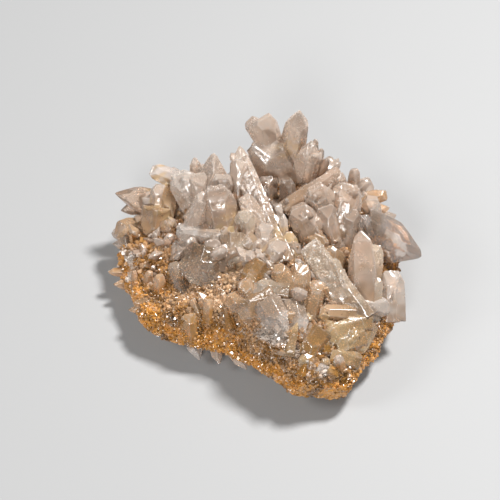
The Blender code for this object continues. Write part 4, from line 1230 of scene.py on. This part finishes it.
def matrix_colour(points):
    """The matrix's colour: ochre round its rim, brown above it and pale between the crystals, with
    white patches, dark patches and a broken dark seam. Each goes in by a smooth step."""
    height = points[:, 2] + 1.6 * waves(points, *HEIGHT_WAVES)
    out = np.hypot(points[:, 0] / 44, (points[:, 1] + 2) / 40) + 0.06 * waves(points, *RIM_WAVES)
    colour = np.tile(OCHRE, (len(points), 1))
    brown = smooth_step(10.5, 13.5, height)
    colour += (BROWN * 1.1 - colour) * brown[:, None]
    pale = smooth_step(0.78, 0.5, out) * smooth_step(14, 20, height)
    colour += (TAN * 0.95 - colour) * (0.85 * pale)[:, None]
    for place, reach in WHITE_DRUSE:
        away = np.linalg.norm(points - np.array(place), axis=1) / reach
        away += 0.25 * waves(points, *WHITE_WAVES)
        colour += (WHITE * 0.95 - colour) * (0.9 * smooth_step(1.0, 0.4, away))[:, None]
    dark = smooth_step(0.5, 1.4, waves(points, *DARK_WAVES)) * smooth_step(0.4, 0.7, out)
    colour += (DARK - colour) * (0.75 * dark)[:, None]
    seam = smooth_step(1.6, 0.5, np.abs(points[:, 2] - SEAM_HEIGHT - 1.5 * waves(points, *SEAM_WAVES)))
    seam *= smooth_step(0.2, 1.0, waves(points, *SEAM_GAP_WAVES)) * smooth_step(0.6, 0.75, out)
    colour += (DARK - colour) * (0.7 * seam)[:, None]
    return keep_hue(np.clip(colour * (1 + 0.12 * waves(points, *MOTTLE_WAVES))[:, None], 0.004, None))


def make_matrix():
    """The matrix's skin: its broad form, moved straight out by cells of two sizes, each highest in
    its middle, and by waves. Pits between the cells are darkened with painted shade."""
    turns, along = np.meshgrid(np.arange(SKIN_COLUMNS) / SKIN_COLUMNS, skin_stations(), indexing="xy")
    points = matrix_surface(turns.ravel(), along.ravel())
    poles = matrix_surface(np.zeros(2), np.array([0.0, 1.0]))
    points = np.concatenate([points, poles])
    outward = matrix_outward(points)
    size, height, seed = CRUMBS
    small_size, small_height, small_seed = SMALL_CRUMBS
    near, mark = pebbles(points, size, seed)
    fine, _ = pebbles(points, small_size, small_seed)
    relief = height * (0.55 - near) + small_height * (0.5 - fine)
    relief += 0.25 * waves(points, *CRUMB_WAVES)
    relief -= 0.35
    relief *= smooth_step(0.1, 4.0, points[:, 2])
    colour = keep_hue(matrix_colour(points) * (0.75 + 0.5 * mark)[:, None])
    # Painted shade: the deeper a pit, the darker it is.
    colour *= (1 - 0.6 * smooth_step(0.0, -0.7, relief))[:, None]
    faces = globe_faces(len(skin_stations()), SKIN_COLUMNS)
    faces = [part[:, ::-1] for part in faces]
    marks = {"tint": colour, "frost": np.zeros(len(points))}
    points = pull_in(points + outward * relief[:, None])
    piece = mesh_piece("matrix_skin", points, faces, marks)
    dress(piece, "matrix_skin", "stained_matrix")
    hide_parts("matrix")


def skin_stations():
    """Places along the matrix's profile: few under it, many over its rim and front."""
    return np.concatenate([np.linspace(*rows) for rows in SKIN_ROWS])


def places_on_matrix(draw, count, turns, along):
    """Random places on the matrix with the directions straight out of it there, found from three
    places close together."""
    u = draw.uniform(*turns, count)
    v = draw.uniform(*along, count)
    here = matrix_surface(u, v)
    beside = matrix_surface(u + 0.002, v) - here
    above = matrix_surface(u, v + 0.004) - here
    return here, unit(np.cross(beside, above) + 1e-9)


def strew(name, finish, groups, seed, sides=4):
    """Many small crystals over parts of the matrix, as one piece. Each stands on a random place
    with a random lean, and short ones are more common than long ones. Its colour goes from the
    matrix's towards the pale crystals' by about its group's whiteness, spread widely in brightness and
    whiteness: partly the grains' own tone, partly painted glints."""
    draw = np.random.default_rng(seed)
    all_points, all_faces, all_colours, done = [], [[], []], [], 0
    for count, turns, along, lengths, slimness, leaning, whiteness in groups:
        here, outward = places_on_matrix(draw, count, turns, along)
        direction = unit(outward + draw.normal(size=(count, 3)) * leaning)
        long = draw.uniform(0, 1, count) ** 2 * (lengths[1] - lengths[0]) + lengths[0]
        breadth = long * draw.uniform(*slimness, count)
        frames = frames_about(direction, draw)
        feet = here - direction * (long * DRUSE_SUNK)[:, None]
        tall = long * (1 + DRUSE_SUNK)
        points, faces = prism_shapes(feet, frames, tall, breadth, DRUSE_DEPTH, draw, sides)
        # A wide spread of brightness and whiteness: partly the grains' own tone, partly painted glints on
        # single grains.
        colour = matrix_colour(here) * draw.uniform(0.55, 1.7, (count, 1))
        white = np.clip(draw.normal(whiteness, 0.18, count), 0, 1)[:, None]
        colour += (PALE - colour) * white
        colour = keep_hue(colour)
        all_points.append(points)
        all_colours.append(np.repeat(np.clip(colour, 0.01, 0.95), 3 * sides, axis=0))
        for k in range(2):
            all_faces[k].append(faces[k] + done)
        done += len(points)
    faces = [np.concatenate(part) for part in all_faces]
    tint = np.concatenate(all_colours)
    marks = {"tint": tint, "frost": np.full(len(tint), LITTLE_FROST)}
    piece = mesh_piece(name, pull_in(np.concatenate(all_points)), faces, marks, smooth=False)
    dress(piece, name, finish)


def strewn_crystals():
    """The larger strewn crystals, each standing on the matrix and leaning a little. Their places
    are drawn from the points of a coarse grid over it that lie in the group's part."""
    draw = np.random.default_rng(STREWN_SEED)
    start = len(UNDERSIDE) + len(BAND)
    steps = len(profile_stations()) - 1
    stations = np.arange(start, start + 1 + len(TOP_SHARES))
    turns, along = np.meshgrid(np.arange(AROUND) / AROUND, stations / steps)
    top = matrix_surface(turns.ravel(), along.ravel())
    rim = matrix_surface(turns[0], np.full(AROUND, (start - 1) / steps))
    reach = np.linalg.norm(rim[:, :2], axis=1)
    share = np.linalg.norm(top[:, :2], axis=1) / np.tile(reach, len(top) // AROUND)
    found = {}
    for part, (count, around, shares, breadths) in enumerate(STREWN):
        fits = (turns.ravel() > around[0]) & (turns.ravel() < around[1])
        fits &= (share > shares[0]) & (share < shares[1])
        for k, place in enumerate(draw.choice(top[fits], count, replace=False)):
            lean = unit(matrix_outward(place) + draw.normal(size=3) * STREWN_LEAN)
            breadth = draw.uniform(*breadths)
            depth = breadth * STREWN_DEPTH
            tip = place + lean * breadth * draw.uniform(*STREWN_LENGTH)
            turn = draw.uniform(-90, 90)
            end = STREWN_ENDS[k % len(STREWN_ENDS)]
            found[f"strewn_{part}_{k}"] = Crystal(place, tip, breadth, depth, turn, end, SHORT)
    return found


def make_crust():
    """The crystals that are one with the matrix, in detail."""
    solids = []
    for name, crystal in {**CRUST, **strewn_crystals()}.items():
        points, faces, edges = crystal_surface(name, crystal)
        solids.append(mesh_piece(name, points, faces, crystal_marks(name, crystal, points, TAN, edges)))
    dress(join_solids(solids), "crust_crystals", "pale_crystal")


def make_fillers():
    """Crystals of a few millimetres that fill the places between the large ones: each stands on a
    random place of the matrix with a random lean, and is made as the large ones are."""
    for piece_name, finish, base, seed, groups in FILLERS:
        draw = np.random.default_rng(seed)
        solids = []
        for count, turns, along, breadths, lengths, leaning in groups:
            places, outward = places_on_matrix(draw, count, turns, along)
            lean = unit(outward + draw.normal(size=(count, 3)) * leaning)
            breadth = draw.uniform(*breadths, count)
            length = breadth * draw.uniform(*lengths, count)
            for k in range(count):
                name = f"{piece_name}_{len(solids)}"
                tip = places[k] + lean[k] * length[k]
                end = FILLER_ENDS[k % len(FILLER_ENDS)]
                turn = draw.uniform(-90, 90)
                depth = breadth[k] * draw.uniform(0.5, 0.85)
                crystal = Crystal(tuple(places[k]), tuple(tip), breadth[k], depth, turn, end)
                points, faces, edges = crystal_surface(name, crystal, FILLER_FINE)
                marks = crystal_marks(name, crystal, points, base, edges)
                solids.append(mesh_piece(name, points, faces, marks))
        dress(join_solids(solids), piece_name, finish)


def add_node(tree, kind, inputs=None, **settings):
    """A node with its settings. An input is a plain value, or the socket that feeds it."""
    made = tree.nodes.new("ShaderNode" + kind)
    for key, value in settings.items():
        setattr(made, key, value)
    for key, value in (inputs or {}).items():
        if isinstance(value, bpy.types.NodeSocket):
            tree.links.new(value, made.inputs[key])
        else:
            made.inputs[key].default_value = value
    return made


def add_math(tree, operation, *values, **settings):
    """The result of a sum or product of plain values and sockets."""
    inputs = dict(enumerate(values))
    return add_node(tree, "Math", inputs, operation=operation, **settings).outputs["Value"]


def new_group(name, inputs, outputs):
    """An empty node group with named sockets, and its input and output nodes."""
    group = bpy.data.node_groups.new(name, "ShaderNodeTree")
    for label, kind, value in inputs:
        socket = group.interface.new_socket(name=label, in_out="INPUT", socket_type="NodeSocket" + kind)
        socket.default_value = value
    for label, kind in outputs:
        group.interface.new_socket(name=label, in_out="OUTPUT", socket_type="NodeSocket" + kind)
    return group, group.nodes.new("NodeGroupInput"), group.nodes.new("NodeGroupOutput")


def surface_grain_group():
    """Cloudy patches, fine grain and frosting over a tint, with a roughness and a height."""
    group, given, result = new_group(
        "surface_grain",
        (
            ("Tint", "Color", (0.5, 0.5, 0.5, 1)),
            ("Frost", "Float", 0.3),
            ("Smooth", "Float", 0.12),
            ("Rough", "Float", 0.45),
            ("Grain", "Float", 1.0),
        ),
        (("Color", "Color"), ("Roughness", "Float"), ("Height", "Float")),
    )
    place = add_node(group, "TexCoord").outputs["Object"]
    clouds = add_node(group, "TexNoise", {"Vector": place, "Scale": 260.0, "Detail": 4.0, "Roughness": 0.65})
    specks = add_node(group, "TexNoise", {"Vector": place, "Scale": 1900.0, "Detail": 3.0, "Roughness": 0.7})
    pits = add_node(group, "TexVoronoi", {"Vector": place, "Scale": 1300.0})
    patch = add_node(group, "MapRange", {"Value": clouds.outputs["Fac"], "From Min": 0.5, "From Max": 0.68})
    speck = add_node(group, "MapRange", {"Value": specks.outputs["Fac"], "From Min": 0.5, "From Max": 0.62})
    spread = add_math(group, "MULTIPLY", patch.outputs["Result"], speck.outputs["Result"])
    frosted = add_math(group, "MULTIPLY", spread, given.outputs["Frost"], use_clamp=True)
    mix = group.nodes.new("ShaderNodeMix")
    mix.data_type = "RGBA"
    group.links.new(frosted, mix.inputs[0])
    group.links.new(given.outputs["Tint"], mix.inputs[6])
    mix.inputs[7].default_value = (*FROST_COLOUR, 1)
    group.links.new(mix.outputs[2], result.inputs["Color"])
    rough = add_node(
        group,
        "MapRange",
        {
            "Value": clouds.outputs["Fac"],
            "From Min": 0.35,
            "From Max": 0.65,
            "To Min": given.outputs["Smooth"],
            "To Max": given.outputs["Rough"],
        },
    )
    total = add_math(group, "MULTIPLY_ADD", frosted, 0.3, rough.outputs["Result"])
    group.links.new(total, result.inputs["Roughness"])
    height = add_math(group, "MULTIPLY_ADD", pits.outputs["Distance"], 0.5, specks.outputs["Fac"])
    scaled = add_math(group, "MULTIPLY", height, given.outputs["Grain"])
    group.links.new(scaled, result.inputs["Height"])
    return group


def new_material(name, group, look, bump, shader_values, absorption=None):
    """A material of the surface grain over the tint that each point has, with plain shader values
    and, for what light goes through, a plain absorption."""
    material = bpy.data.materials.new(name)
    material.use_nodes = True
    tree = material.node_tree
    tree.nodes.clear()
    tint = add_node(tree, "Attribute", attribute_name="tint")
    frost = add_node(tree, "Attribute", attribute_name="frost")
    grain = add_node(tree, "Group", node_tree=group)
    tree.links.new(tint.outputs["Color"], grain.inputs["Tint"])
    tree.links.new(frost.outputs["Fac"], grain.inputs["Frost"])
    for key, value in look.items():
        grain.inputs[key].default_value = value
    strength, distance = bump
    bumped = add_node(
        tree, "Bump", {"Height": grain.outputs["Height"], "Strength": strength, "Distance": distance}
    )
    shader = add_node(
        tree,
        "BsdfPrincipled",
        {
            "Base Color": grain.outputs["Color"],
            "Roughness": grain.outputs["Roughness"],
            "Normal": bumped.outputs["Normal"],
            **shader_values,
        },
    )
    output = add_node(tree, "OutputMaterial", {"Surface": shader.outputs["BSDF"]})
    if absorption:
        colour, density = absorption
        volume = add_node(tree, "VolumeAbsorption", {"Color": (*colour, 1), "Density": density})
        tree.links.new(volume.outputs["Volume"], output.inputs["Volume"])
    return material


def make_materials():
    """The finishes: three crystals that let light through and tint it, the matrix, and druse."""
    group = surface_grain_group()
    glassy = {"IOR": 1.62, "Metallic": 0.0, "Coat Weight": 0.5, "Coat Roughness": 0.04}
    return {
        "pale_crystal": new_material(
            "pale_crystal",
            group,
            {"Smooth": 0.05, "Rough": 0.32, "Grain": 1.0},
            (0.14, 0.0002),
            {**glassy, "Transmission Weight": 0.62},
            ((0.90, 0.79, 0.67), 30.0),
        ),
        "clear_crystal": new_material(
            "clear_crystal",
            group,
            {"Smooth": 0.02, "Rough": 0.22, "Grain": 0.6},
            (0.15, 0.0002),
            {**glassy, "Transmission Weight": 0.8},
            ((0.92, 0.86, 0.80), 15.0),
        ),
        "tan_crystal": new_material(
            "tan_crystal",
            group,
            {"Smooth": 0.06, "Rough": 0.3, "Grain": 1.0},
            (0.14, 0.0002),
            {**glassy, "Transmission Weight": 0.68},
            ((0.90, 0.70, 0.46), 36.0),
        ),
        "stained_matrix": new_material(
            "stained_matrix",
            group,
            {"Smooth": 0.35, "Rough": 0.85, "Grain": 1.6},
            (0.9, 0.0004),
            {"Metallic": 0.0, "IOR": 1.5},
        ),
        "druse": new_material(
            "druse",
            group,
            {"Smooth": 0.06, "Rough": 0.3, "Grain": 0.6},
            (0.2, 0.0002),
            {**glassy, "Transmission Weight": 0.35},
        ),
    }


def make_floor():
    """A plain pale surface that the cluster rests on."""
    corners = np.array([(-1, -1, 0), (1, -1, 0), (1, 1, 0), (-1, 1, 0)]) * FLOOR_REACH
    mesh = bpy.data.meshes.new("floor")
    mesh.from_pydata((corners * MM).tolist(), [], [(0, 1, 2, 3)])
    floor = bpy.data.objects.new("floor", mesh)
    bpy.context.scene.collection.objects.link(floor)
    material = bpy.data.materials.new("floor_paper")
    material.use_nodes = True
    shader = material.node_tree.nodes["Principled BSDF"]
    shader.inputs["Base Color"].default_value = (FLOOR_GREY, FLOOR_GREY, FLOOR_GREY, 1)
    shader.inputs["Roughness"].default_value = 0.6
    mesh.materials.append(material)


def aim(placed, target):
    """Turns a camera or a light so that it looks at the target."""
    placed.rotation_euler = (placed.location - target).to_track_quat("Z", "Y").to_euler()


def make_camera():
    """The photograph's view: down at 50 degrees from the front."""
    target = Vector(TARGET) * MM
    camera = bpy.data.objects.new("camera", bpy.data.cameras.new("camera"))
    bpy.context.scene.collection.objects.link(camera)
    tilt = math.radians(CAMERA_HEIGHT)
    camera.location = target + Vector((0, -math.cos(tilt), math.sin(tilt))) * CAMERA_AWAY * MM
    camera.data.lens = LENS
    camera.data.clip_start = 0.01
    aim(camera, target)
    bpy.context.scene.camera = camera


def make_lights():
    """Soft round studio lights that all look at the cluster, a faint even light from all round, and
    colours shown as they are."""
    target = Vector(TARGET) * MM
    for name, place, size, power in LIGHTS:
        light = bpy.data.lights.new(name, "AREA")
        light.shape = "DISK"
        light.size = size
        light.energy = power
        lamp = bpy.data.objects.new(name, light)
        bpy.context.scene.collection.objects.link(lamp)
        lamp.location = Vector(place)
        aim(lamp, target)
    world = bpy.data.worlds.new("studio")
    bpy.context.scene.world = world
    world.use_nodes = True
    world.node_tree.nodes["Background"].inputs["Color"].default_value = (1, 1, 1, 1)
    world.node_tree.nodes["Background"].inputs["Strength"].default_value = AMBIENT
    bpy.context.scene.view_settings.view_transform = "Standard"


MATERIALS = make_materials()
FROSTED_SURFACES = []
make_matrix()
for spray_name, spray_crystals in SPRAYS.items():
    make_spray(spray_name, spray_crystals)
make_crust()
make_fillers()
frost_grains(FROSTED_SURFACES)
for druse_name, druse_finish, druse_groups, druse_seed, druse_sides, druse_slot in DRUSES:
    strew(druse_name, druse_finish, druse_groups, druse_seed, druse_sides)
make_floor()
make_camera()
make_lights()
